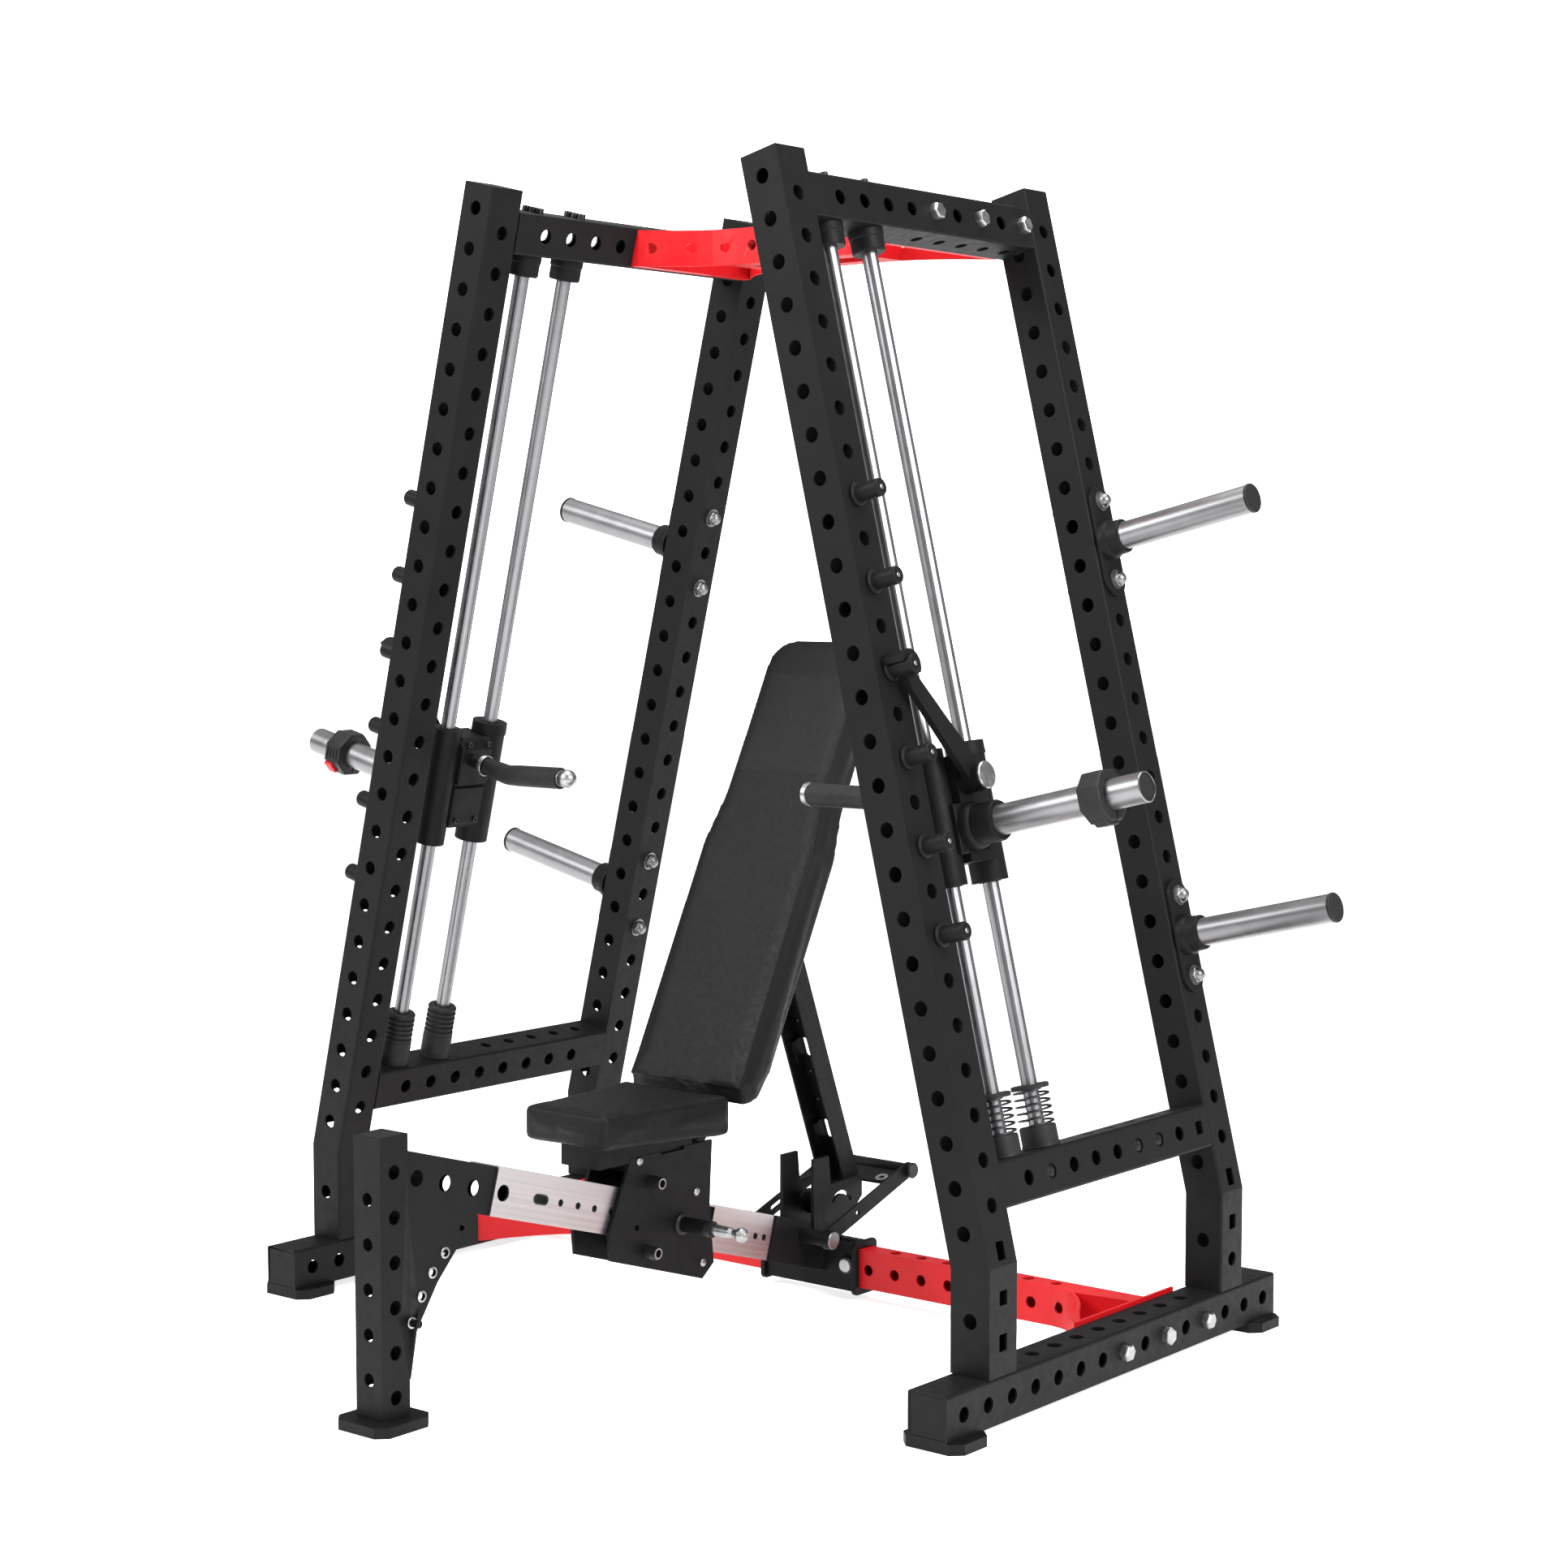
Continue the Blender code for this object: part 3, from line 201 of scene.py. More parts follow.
def lathe(profile, place, segments=32, closed=False):
    """(radius, height) points turned about the place's Z; closed makes a ring."""
    work = bmesh.new()
    rings = []
    for radius, height in profile:
        if radius < 1e-6:
            rings.append([work.verts.new((0, 0, height))])
        else:
            rings.append([work.verts.new((radius * cos(2 * pi * i / segments),
                                          radius * sin(2 * pi * i / segments), height))
                          for i in range(segments)])
    pairs = list(zip(rings, rings[1:] + rings[:1])) if closed else list(zip(rings, rings[1:]))
    for low, high in pairs:
        for i in range(segments):
            j = (i + 1) % segments
            corners = [low[i % len(low)], low[j % len(low)], high[j % len(high)], high[i % len(high)]]
            unique = list(dict.fromkeys(corners))
            if len(unique) > 2:
                work.faces.new(unique)
    if not closed:
        for ring in (rings[0], rings[-1]):
            if len(ring) > 2:
                work.faces.new(ring)
    bmesh.ops.transform(work, verts=work.verts, matrix=place)
    return loose(work)


def bar(start, end, radius, chamfer=0.0, segments=32):
    length = (Vector(end) - Vector(start)).length
    c = min(chamfer, length / 3, radius / 2)
    profile = [(radius, 0), (radius, length)] if not c else [
        (radius - c, 0), (radius - 0.3 * c, 0.3 * c), (radius, c), (radius, length - c),
        (radius - 0.3 * c, length - 0.3 * c), (radius - c, length)]
    return lathe(profile, at(Vector(start), Vector(end) - Vector(start)), segments)


def block(low, high, place=None):
    work = bmesh.new()
    bmesh.ops.create_cube(work, size=1)
    low, high = Vector(low), Vector(high)
    size = high - low
    bmesh.ops.scale(work, verts=work.verts, vec=size)
    bmesh.ops.translate(work, verts=work.verts, vec=(low + high) / 2)
    if place:
        bmesh.ops.transform(work, verts=work.verts, matrix=place)
    return loose(work)


def slab(outline, thickness, place):
    """A plate from an outline in the place's XY, its thickness along +Z."""
    work = bmesh.new()
    lower = [work.verts.new((x, y, 0)) for x, y in outline]
    upper = [work.verts.new((x, y, thickness)) for x, y in outline]
    work.faces.new(lower)
    work.faces.new(upper)
    for i, start in enumerate(lower):
        j = (i + 1) % len(lower)
        work.faces.new((start, lower[j], upper[j], upper[i]))
    bmesh.ops.transform(work, verts=work.verts, matrix=place)
    return loose(work)


def arc(centre, radius, start, end, steps):
    angles = [radians(start + (end - start) * i / steps) for i in range(steps + 1)]
    return [(centre[0] + radius * cos(a), centre[1] + radius * sin(a)) for a in angles]


def oblong(length, width, steps=8):
    """Outline with round ends, long in X."""
    r, x = width / 2, (length - width) / 2
    return arc((x, 0), r, -90, 90, steps) + arc((-x, 0), r, 90, 270, steps)


def rectangle(width, height, corner, steps=4):
    points = []
    for sx, sy, start in ((1, -1, -90), (1, 1, 0), (-1, 1, 90), (-1, -1, 180)):
        centre = (sx * (width / 2 - corner), sy * (height / 2 - corner))
        points += arc(centre, corner, start, start + 90, steps)
    return points


def through(point, direction, radius=HOLE_R, length=TUBE + 0.02, segments=24):
    """A drill centred on a point."""
    half = direction.normalized() * length / 2
    return bar(point - half, point + half, radius, 0, segments)


def slot_tool(point, direction, up, length, width, depth):
    outline = [(y, x) for x, y in oblong(length, width)]
    return slab(outline, depth, at(point - direction.normalized() * depth / 2, direction, up))


def window_tool(point, direction, up, width, height, depth):
    return slab(rectangle(width, height, 0.0025),
                depth, at(point - direction.normalized() * depth / 2, direction, up))


def hex_bolt(point, direction, across=0.027, height=0.014, turn=0.0):
    """A hexagon head with a chamfered top."""
    place = at(point, direction) @ Matrix.Rotation(turn, 4, "Z")
    r = across / 2 / cos(pi / 6)
    return [lathe([(r, 0), (r, height * 0.72), (r * 0.93, height * 0.9), (r * 0.8, height),
                   (0, height)], place, 6)]


def acorn_nut(point, direction, across=0.026, height=0.02):
    place = at(point, direction)
    r = across / 2 / cos(pi / 6)
    dome = [(r * 0.82 * cos(radians(a)), height * 0.45 + height * 0.55 * sin(radians(a)))
            for a in range(0, 90, 15)]
    return [lathe([(r, 0), (r, height * 0.38), (r * 0.88, height * 0.45)], place, 6),
            lathe([(r * 0.82, height * 0.3)] + dome + [(0, height)], place, 24),
            lathe([(r * 1.2, 0), (r * 1.2, 0.002)], place, 28)]


def socket_bolt(point, direction, radius=0.009, height=0.008):
    """A round head with a hexagon socket."""
    place = at(point, direction)
    key = radius * 0.55
    return [lathe([(radius, 0), (radius, height * 0.8), (radius * 0.9, height), (key, height),
                   (key * 0.98, height * 0.4), (0, height * 0.4)], place, 24)]


def dome_screw(point, direction, radius=0.009, height=0.005):
    place = at(point, direction)
    curve = [(radius * cos(radians(a)), height * (0.15 + 0.85 * sin(radians(a)))) for a in range(0, 80, 15)]
    return [lathe([(radius, 0)] + curve + [(radius * 0.16, height), (radius * 0.14, height * 0.5),
                                           (0, height * 0.5)], place, 24)]


def wire(points, radii, sides=10):
    """A round wire along a line of points, with a radius for each."""
    work = bmesh.new()
    rings = []
    for i, point in enumerate(points):
        ahead = points[min(i + 1, len(points) - 1)] - points[max(i - 1, 0)]
        turn = facing(ahead, Vector((0.13, 0.21, 0.97)))
        spokes = [Vector((cos(2 * pi * k / sides), sin(2 * pi * k / sides), 0)) for k in range(sides)]
        rings.append([work.verts.new(point + turn @ spoke * radii[i]) for spoke in spokes])
    for low, high in zip(rings, rings[1:]):
        for k in range(sides):
            j = (k + 1) % sides
            work.faces.new((low[k], low[j], high[j], high[k]))
    work.faces.new(rings[0])
    work.faces.new(rings[-1])
    return loose(work)


# ---------------------------------------------------------------- materials

def node_material(name, colour, roughness, metallic=0.0, **sockets):
    made = bpy.data.materials.new(name)
    made.use_nodes = True
    shader = made.node_tree.nodes["Principled BSDF"]
    shader.inputs["Base Color"].default_value = (*colour, 1)
    shader.inputs["Roughness"].default_value = roughness
    shader.inputs["Metallic"].default_value = metallic
    for socket, value in sockets.items():
        shader.inputs[socket].default_value = value
    return made, made.node_tree, shader


def noise(tree, scale, detail=2.0, stretch=None, turn=None):
    """Noise in the piece's own metres, stretched and turned if asked."""
    place = tree.nodes.new("ShaderNodeTexCoord").outputs["Object"]
    if stretch:
        mapping = tree.nodes.new("ShaderNodeMapping")
        mapping.vector_type = "TEXTURE"
        mapping.inputs["Scale"].default_value = stretch
        mapping.inputs["Rotation"].default_value = turn or (0, 0, 0)
        tree.links.new(place, mapping.inputs["Vector"])
        place = mapping.outputs["Vector"]
    texture = tree.nodes.new("ShaderNodeTexNoise")
    texture.inputs["Scale"].default_value = scale
    texture.inputs["Detail"].default_value = detail
    tree.links.new(place, texture.inputs["Vector"])
    return texture.outputs["Fac"]


def ranged(tree, value, low, high, from_low=0.3, from_high=0.7):
    node = tree.nodes.new("ShaderNodeMapRange")
    node.inputs["From Min"].default_value = from_low
    node.inputs["From Max"].default_value = from_high
    node.inputs["To Min"].default_value = low
    node.inputs["To Max"].default_value = high
    tree.links.new(value, node.inputs["Value"])
    return node.outputs["Result"]


def blended(tree, value, first, second, from_low=0.35, from_high=0.65):
    ramp = tree.nodes.new("ShaderNodeValToRGB")
    ramp.color_ramp.elements[0].position = from_low
    ramp.color_ramp.elements[1].position = from_high
    ramp.color_ramp.elements[0].color = (*first, 1)
    ramp.color_ramp.elements[1].color = (*second, 1)
    tree.links.new(value, ramp.inputs["Fac"])
    return ramp.outputs["Color"]


def bump(tree, shader, heights):
    """Stack bumps, each (value, strength, distance)."""
    normal = None
    for value, strength, distance in heights:
        node = tree.nodes.new("ShaderNodeBump")
        node.inputs["Strength"].default_value = strength
        node.inputs["Distance"].default_value = distance
        tree.links.new(value, node.inputs["Height"])
        if normal:
            tree.links.new(normal, node.inputs["Normal"])
        normal = node.outputs["Normal"]
    tree.links.new(normal, shader.inputs["Normal"])


def worn_edges(tree, colour, worn, radius=0.0012):
    """Lighten the very edges, where the coat rubs thin."""
    bevel = tree.nodes.new("ShaderNodeBevel")
    bevel.samples = 4
    bevel.inputs["Radius"].default_value = radius
    geometry = tree.nodes.new("ShaderNodeNewGeometry")
    dot = tree.nodes.new("ShaderNodeVectorMath")
    dot.operation = "DOT_PRODUCT"
    tree.links.new(bevel.outputs["Normal"], dot.inputs[0])
    tree.links.new(geometry.outputs["Normal"], dot.inputs[1])
    amount = ranged(tree, dot.outputs["Value"], 0.55, 0.0, 0.8, 0.995)
    patchy = ranged(tree, noise(tree, 35, 3), 0.3, 1.0)
    times = tree.nodes.new("ShaderNodeMath")
    times.operation = "MULTIPLY"
    tree.links.new(amount, times.inputs[0])
    tree.links.new(patchy, times.inputs[1])
    mix = tree.nodes.new("ShaderNodeMix")
    mix.data_type = "RGBA"
    mix.inputs["B"].default_value = (*worn, 1)
    tree.links.new(times.outputs["Value"], mix.inputs["Factor"])
    tree.links.new(colour, mix.inputs["A"])
    return mix.outputs["Result"]


def powder_coat(name, colour, lighter, worn, roughness, shine):
    made, tree, shader = node_material(name, colour, roughness)
    shader.inputs["Specular IOR Level"].default_value = shine
    tone = blended(tree, noise(tree, 9, 4), colour, lighter)
    tree.links.new(worn_edges(tree, tone, worn), shader.inputs["Base Color"])
    tree.links.new(ranged(tree, noise(tree, 60, 3), roughness - 0.05, roughness + 0.07),
                   shader.inputs["Roughness"])
    bump(tree, shader, [(noise(tree, 1500, 2), 0.16, 0.0003), (noise(tree, 260, 2), 0.06, 0.0006)])
    return made


def metal(name, colour, darker, rough_low, rough_high, grain, stretch=None, turn=None, depth=0.02):
    made, tree, shader = node_material(name, colour, rough_high, 1.0)
    streaks = noise(tree, grain, 4, stretch, turn)
    tree.links.new(blended(tree, streaks, darker, colour, 0.3, 0.65), shader.inputs["Base Color"])
    tree.links.new(ranged(tree, streaks, rough_low, rough_high), shader.inputs["Roughness"])
    bump(tree, shader, [(streaks, depth, 0.0002)])
    return made


def rubber(name, colour, lighter, roughness, grain):
    made, tree, shader = node_material(name, colour, roughness)
    shader.inputs["Specular IOR Level"].default_value = 0.22
    tree.links.new(blended(tree, noise(tree, 40, 3), colour, lighter), shader.inputs["Base Color"])
    tree.links.new(ranged(tree, noise(tree, 90, 2), roughness - 0.06, roughness + 0.06),
                   shader.inputs["Roughness"])
    bump(tree, shader, [(noise(tree, grain, 3), 0.25, 0.0005)])
    return made


def vinyl(name, colour, lighter):
    made, tree, shader = node_material(name, colour, 0.5)
    shader.inputs["Specular IOR Level"].default_value = 0.14
    place = tree.nodes.new("ShaderNodeTexCoord").outputs["Object"]
    cells = tree.nodes.new("ShaderNodeTexVoronoi")
    cells.feature = "DISTANCE_TO_EDGE"
    cells.inputs["Scale"].default_value = 700
    tree.links.new(place, cells.inputs["Vector"])
    grain = ranged(tree, cells.outputs["Distance"], 0, 1, 0, 0.22)
    tree.links.new(blended(tree, noise(tree, 14, 4), colour, lighter), shader.inputs["Base Color"])
    tree.links.new(ranged(tree, noise(tree, 130, 3), 0.44, 0.58), shader.inputs["Roughness"])
    bump(tree, shader, [(grain, 0.2, 0.0003), (noise(tree, 45, 3), 0.08, 0.0008)])
    return made


BLACK = powder_coat("black_powder_coat", (0.0042, 0.0043, 0.0047), (0.0052, 0.0053, 0.0057),
                    (0.014, 0.014, 0.015), 0.5, 0.1)
RED = powder_coat("red_powder_coat", (0.4, 0.0035, 0.006), (0.44, 0.005, 0.008),
                  (0.5, 0.03, 0.03), 0.42, 0.22)
CHROME = metal("chrome_rod", (0.23, 0.23, 0.24), (0.21, 0.21, 0.22), 0.32, 0.36, 30)
SATIN = metal("satin_sleeve", (0.22, 0.22, 0.225), (0.19, 0.19, 0.195), 0.34, 0.38, 26)
STAINLESS = metal("stainless_strip", (0.44, 0.43, 0.43), (0.37, 0.36, 0.36), 0.32, 0.42, 9,
                  (1.0, 9.0, 0.02), (-RAIL_SLOPE, 0, 0), 0.05)
ZINC = metal("zinc_bolts", (0.34, 0.34, 0.34), (0.24, 0.24, 0.24), 0.3, 0.42, 90)
NUT_METAL = metal("dull_nuts", (0.2, 0.2, 0.2), (0.14, 0.14, 0.14), 0.32, 0.44, 90)
DARK_METAL = metal("dark_bolts", (0.04, 0.04, 0.042), (0.026, 0.026, 0.028), 0.32, 0.46, 120)
RUBBER = rubber("grip_rubber", (0.0056, 0.0056, 0.006), (0.0082, 0.0082, 0.0085), 0.6, 900)
PLASTIC = rubber("moulded_plastic", (0.0068, 0.0068, 0.0072), (0.0092, 0.0092, 0.0096), 0.46, 1400)
RED_PLASTIC = rubber("red_plastic", (0.4, 0.006, 0.008), (0.44, 0.009, 0.011), 0.4, 1200)
VINYL = vinyl("pad_vinyl", (0.0024, 0.0026, 0.0029), (0.0031, 0.0033, 0.0036))
PANEL_VINYL = vinyl("pad_panel_vinyl", (0.0042, 0.0044, 0.0048), (0.005, 0.0052, 0.0056))


def show(obj, name, look, body, replaces=(), sharp=34):
    """Name a finished piece, give it its material and smooth shading, and let it ride."""
    mesh = obj.data
    obj.name = name
    mesh.name = name
    mesh.materials.clear()
    mesh.materials.append(look)
    mesh.polygons.foreach_set("material_index", [0] * len(mesh.polygons))
    mesh.polygons.foreach_set("use_smooth", [True] * len(mesh.polygons))
    mesh.set_sharp_from_angle(angle=radians(sharp))
    bpy.context.scene.collection.objects.link(obj)
    even = obj.modifiers.new("even_normals", "WEIGHTED_NORMAL")
    even.keep_sharp = True
    even.weight = 80
    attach(obj, body)
    if replaces:
        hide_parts(*replaces)
    return obj


def show_shell(node, obj, look, body):
    """Show a piece in place of the CAD node it was made from."""
    show(obj, f"{node}_shell", look, body, [node])


# ---------------------------------------------------------------- side frames

def upright(side_name, side, place, y):
    node = f"upright_{place}_{side_name}"
    shell = rounded_length(copied(node), CORNER_R, 0.1)
    out, up = outwards(side), upwards(side)
    holes = []
    for k in range(LEAN_HOLES):
        holes.append(through(leaning(side, 0, y, FRONT_HOLE_D - k * HOLE_PITCH), Y_AXIS))
        if k < LEAN_HOLES - 1:
            holes.append(through(leaning(side, 0, y, SIDE_HOLE_D - k * HOLE_PITCH), out))
    x = side * BASE_X
    holes.append(through(Vector((x, y, 0.179)), Y_AXIS))
    lowest = leaning(side, HALF, y, SIDE_HOLE_D - (LEAN_HOLES - 1) * HOLE_PITCH)
    holes.append(window_tool(lowest, out, up, 0.021, 0.03, 0.03))
    if place == "front":
        for z, height in ((0.216, 0.024), (0.1445, 0.028)):
            holes.append(window_tool(Vector((x + side * HALF, y, z)), X_AXIS, Z_AXIS, 0.021, height, 0.03))
    else:
        holes.append(window_tool(Vector((x + side * HALF, y, 0.211)), X_AXIS, Z_AXIS, 0.021, 0.026, 0.03))
        holes.append(through(Vector((x + side * HALF, y, 0.1445)), X_AXIS, HOLE_R, 0.03))
    show_shell(node, drilled(shell, holes), BLACK, "frame")
    cap = slab(rectangle(TUBE - 0.009, TUBE - 0.009, 0.003), 0.004,
               at(leaning(side, 0, y, LEAN_LENGTH - 0.0045), up, out))
    show(softened(cap, 0.001), f"{node}_cap", BLACK, "frame")


def beam(node, side, d, side_holes, flat_holes, window_y=None):
    shell = rounded_length(copied(node), CORNER_R, 0.3)
    holes = [through(leaning(side, 0, y, d), outwards(side)) for y in side_holes]
    holes += [through(leaning(side, 0, y, d), upwards(side), 0.011) for y in flat_holes]
    if window_y:
        holes.append(window_tool(leaning(side, HALF, window_y, d), outwards(side), upwards(side),
                                 0.021, 0.023, 0.03))
    show_shell(node, drilled(shell, holes), BLACK, "frame")


def base_beam(side_name, side):
    node = f"base_beam_{side_name}"
    shell = rounded_length(copied(node), CORNER_R, 0.9)
    x, z = side * BASE_X, (BASE_LOW + BASE_TOP) / 2
    holes = [through(Vector((x, -0.2093 + 0.0657 * i, z)), X_AXIS) for i in range(15)]
    holes += [through(Vector((x, 0.0316 + 0.0652 * n, BASE_TOP)), Z_AXIS, 0.0125, 0.02)
              for n in range(8)]
    show_shell(node, drilled(shell, holes), BLACK, "frame")
    caps = []
    for y, direction in ((BASE_FRONT + 0.0045, -Y_AXIS), (BASE_REAR - 0.0045, Y_AXIS)):
        caps.append(slab(rectangle(TUBE - 0.0085, TUBE - 0.0085, 0.003), 0.004,
                         at(Vector((x, y, z)), direction)))
    show(softened(joined(*caps), 0.001), f"{node}_caps", BLACK, "frame")


def side_frame(side_name, side):
    for place, y in (("front", FRAME_Y - UPRIGHT_Y), ("rear", FRAME_Y + UPRIGHT_Y)):
        upright(side_name, side, place, y)
    beam(f"top_beam_{side_name}", side, TOP_BEAM_D, [0.0063 + 0.066 * i for i in range(9)],
         [0.2538 + 0.066 * i for i in range(5)])
    beam(f"lower_beam_{side_name}", side, LOWER_BEAM_D, [0.0072 + 0.0657 * i for i in range(8)],
         [0.25 + 0.0645 * i for i in range(5)], 0.5328)
    base_beam(side_name, side)
    out, up = outwards(side), upwards(side)
    bolts, dark = [], []
    for number, y in enumerate((0.2703, 0.4023, 0.5343)):
        bolts += hex_bolt(leaning(side, HALF, y, TOP_BEAM_D), out, turn=0.4 * number)
    for number, y in enumerate((0.2506, 0.382, 0.5134)):
        point = Vector((side * (BASE_X + HALF), y, (BASE_LOW + BASE_TOP) / 2))
        bolts += hex_bolt(point, X_AXIS * side, turn=0.5 * number)
    for number in (1, 5, 6):
        spot = leaning(side, HALF - 0.0045, 0.0072 + 0.0657 * number, LOWER_BEAM_D)
        dark.append(lathe([(0.0136, 0), (0.0136, 0.001), (0.0105, 0.0012), (0.009, 0.003), (0, 0.0042)],
                          at(spot, out), 28))
    for y in ROD_Y.values():
        for shift in (-0.017, 0.0, 0.017):
            dark += socket_bolt(leaning(side, shift, y, TOP_BEAM_D + HALF), up, 0.0075, 0.01)
    show(joined(*bolts), f"frame_bolts_{side_name}", ZINC, "frame")
    show(joined(*dark), f"frame_screws_{side_name}", DARK_METAL, "frame")


def rod_stops(side_name, side):
    up = upwards(side)
    for place, y in ROD_Y.items():
        node = f"rod_collar_{place}_{side_name}"
        top = TOP_BEAM_D - HALF - 0.0006
        foot = at(leaning(side, 0, y, 0), up)
        bore = ROD_R + 0.0003
        profile = [(bore, top - 0.038), (0.0265, top - 0.038), (0.0285, top - 0.0355),
                   (0.0285, top - 0.014), (0.03, top - 0.012), (0.03, top), (bore, top)]
        lug = bar(leaning(side, 0, y + 0.026, top - 0.024), leaning(side, 0, y + 0.034, top - 0.024),
                  0.005, 0.001)
        collar = joined(lathe(profile, foot, 40, True), lug)
        show_shell(node, collar, BLACK, "frame")
        spring_buffer(side_name, side, place, foot)
        rod = NODES[f"guide_rod_{place}_{side_name}"]
        rod.data.materials.clear()
        rod.data.materials.append(CHROME)


def spring_buffer(side_name, side, place, foot):
    node = f"spring_buffer_{place}_{side_name}"
    bore = ROD_R + 0.0003
    low = LOWER_BEAM_D + HALF + 0.0006
    socket_top = 0.19 if side > 0 else 0.2
    r = 0.032 if side > 0 else 0.0295
    socket = [(bore, low), (r, low), (r, low + 0.003), (r - 0.0012, low + 0.005),
              (r - 0.0012, socket_top - 0.003), (r - 0.003, socket_top), (bore + 0.004, socket_top),
              (bore + 0.004, socket_top - 0.003), (bore, socket_top - 0.003)]
    show(lathe(socket, foot, 40, True), f"{node}_socket", RUBBER, "frame", [node])
    if side > 0:
        coil_r, wire_r, turns = 0.0285, 0.002, 5.2
        start, end = socket_top + 0.001, 0.25
        steps = int(turns * 28)
        path = []
        for i in range(steps + 1):
            share = i / steps
            angle = 2 * pi * turns * share
            spot = Vector((coil_r * cos(angle), coil_r * sin(angle), start + (end - start) * share))
            path.append(foot @ spot)
        show(wire(path, [wire_r] * len(path)), f"{node}_coil", DARK_METAL, "frame")
        cap = [(bore, end), (0.0305, end), (0.0318, 0.2515), (0.0318, 0.2565), (0.03, 0.258),
               (bore, 0.258)]
        show(lathe(cap, foot, 40, True), f"{node}_cap", RUBBER, "frame")
    else:
        profile = [(bore, socket_top + 0.0003), (0.028, socket_top + 0.0003), (0.028, 0.204)]
        for rib in range(5):
            base = 0.206 + rib * 0.0095
            profile += [(0.028, base), (0.0245, base + 0.0018), (0.0245, base + 0.0042),
                        (0.0275, base + 0.006)]
        profile += [(0.0275, 0.2545), (0.025, 0.2575), (bore + 0.003, 0.2575), (bore, 0.255)]
        show(lathe(profile, foot, 40, True), f"{node}_sleeve", RUBBER, "frame")


def pins_and_pegs(side_name, side):
    out, up = outwards(side), upwards(side)
    front, rear = FRAME_Y - UPRIGHT_Y, FRAME_Y + UPRIGHT_Y
    for number, hole in enumerate(PIN_HOLES, 1):
        node = f"lock_pin_{side_name}_{number}"
        place = at(leaning(side, HALF, front, SIDE_HOLE_D - hole * HOLE_PITCH), out)
        profile = [(0.0195, 0.0003), (0.0195, 0.005), (0.017, 0.007), (0.0142, 0.0075), (0.0142, 0.02),
                   (0.015, 0.0215), (0.015, 0.049), (0.0135, 0.0515), (0.0115, 0.0525), (0, 0.0525)]
        show_shell(node, lathe(profile, place, 32), BLACK, "frame")
    dots = [lathe([(0.004, 0.052), (0.004, 0.0528), (0.003, 0.0534), (0, 0.0534)],
                  at(leaning(side, HALF, front, SIDE_HOLE_D - hole * HOLE_PITCH), out), 20)
            for hole in PIN_HOLES]
    show(joined(*dots), f"lock_pin_buttons_{side_name}", ZINC, "frame")
    nuts = []
    for place_name, hole in PEG_HOLES.items():
        node = f"storage_peg_{place_name}_{side_name}"
        d = SIDE_HOLE_D - hole * HOLE_PITCH
        place = at(leaning(side, HALF, rear, d), out)
        tube = [(0.025, 0.045), (0.025, PEG_LENGTH - 0.006), (0.0242, PEG_LENGTH - 0.005),
                (0.015, PEG_LENGTH - 0.005), (0.015, 0.045)]
        show(lathe(tube, place, 48, True), f"{node}_tube", SATIN, "frame", [node])
        boss = [(0, 0.008), (0.036, 0.008), (0.036, 0.017), (0.0335, 0.021), (0.0315, 0.024),
                (0.031, 0.042), (0.029, 0.045), (0.015, 0.045), (0, 0.045)]
        outline = [(y, x) for x, y in oblong(2 * HOLE_PITCH + 0.06, 0.06)]
        plate = softened(slab(outline, 0.0077, at(leaning(side, HALF + 0.0003, rear, d), out, up)), 0.0015)
        show(joined(lathe(boss, place, 48), plate), f"{node}_boss", BLACK, "frame")
        plug = [(0.0262, PEG_LENGTH - 0.005), (0.0262, PEG_LENGTH - 0.0015), (0.025, PEG_LENGTH),
                (0, PEG_LENGTH)]
        show(lathe(plug, place, 48), f"{node}_plug", PLASTIC, "frame")
        for shift in (-HOLE_PITCH, HOLE_PITCH):
            nuts += acorn_nut(leaning(side, HALF + 0.008, rear, d + shift), out)
            nuts += acorn_nut(leaning(side, -HALF, rear, d + shift), -out)
    show(joined(*nuts), f"peg_nuts_{side_name}", NUT_METAL, "frame")


# ---------------------------------------------------------------- carriages, hooks and handles

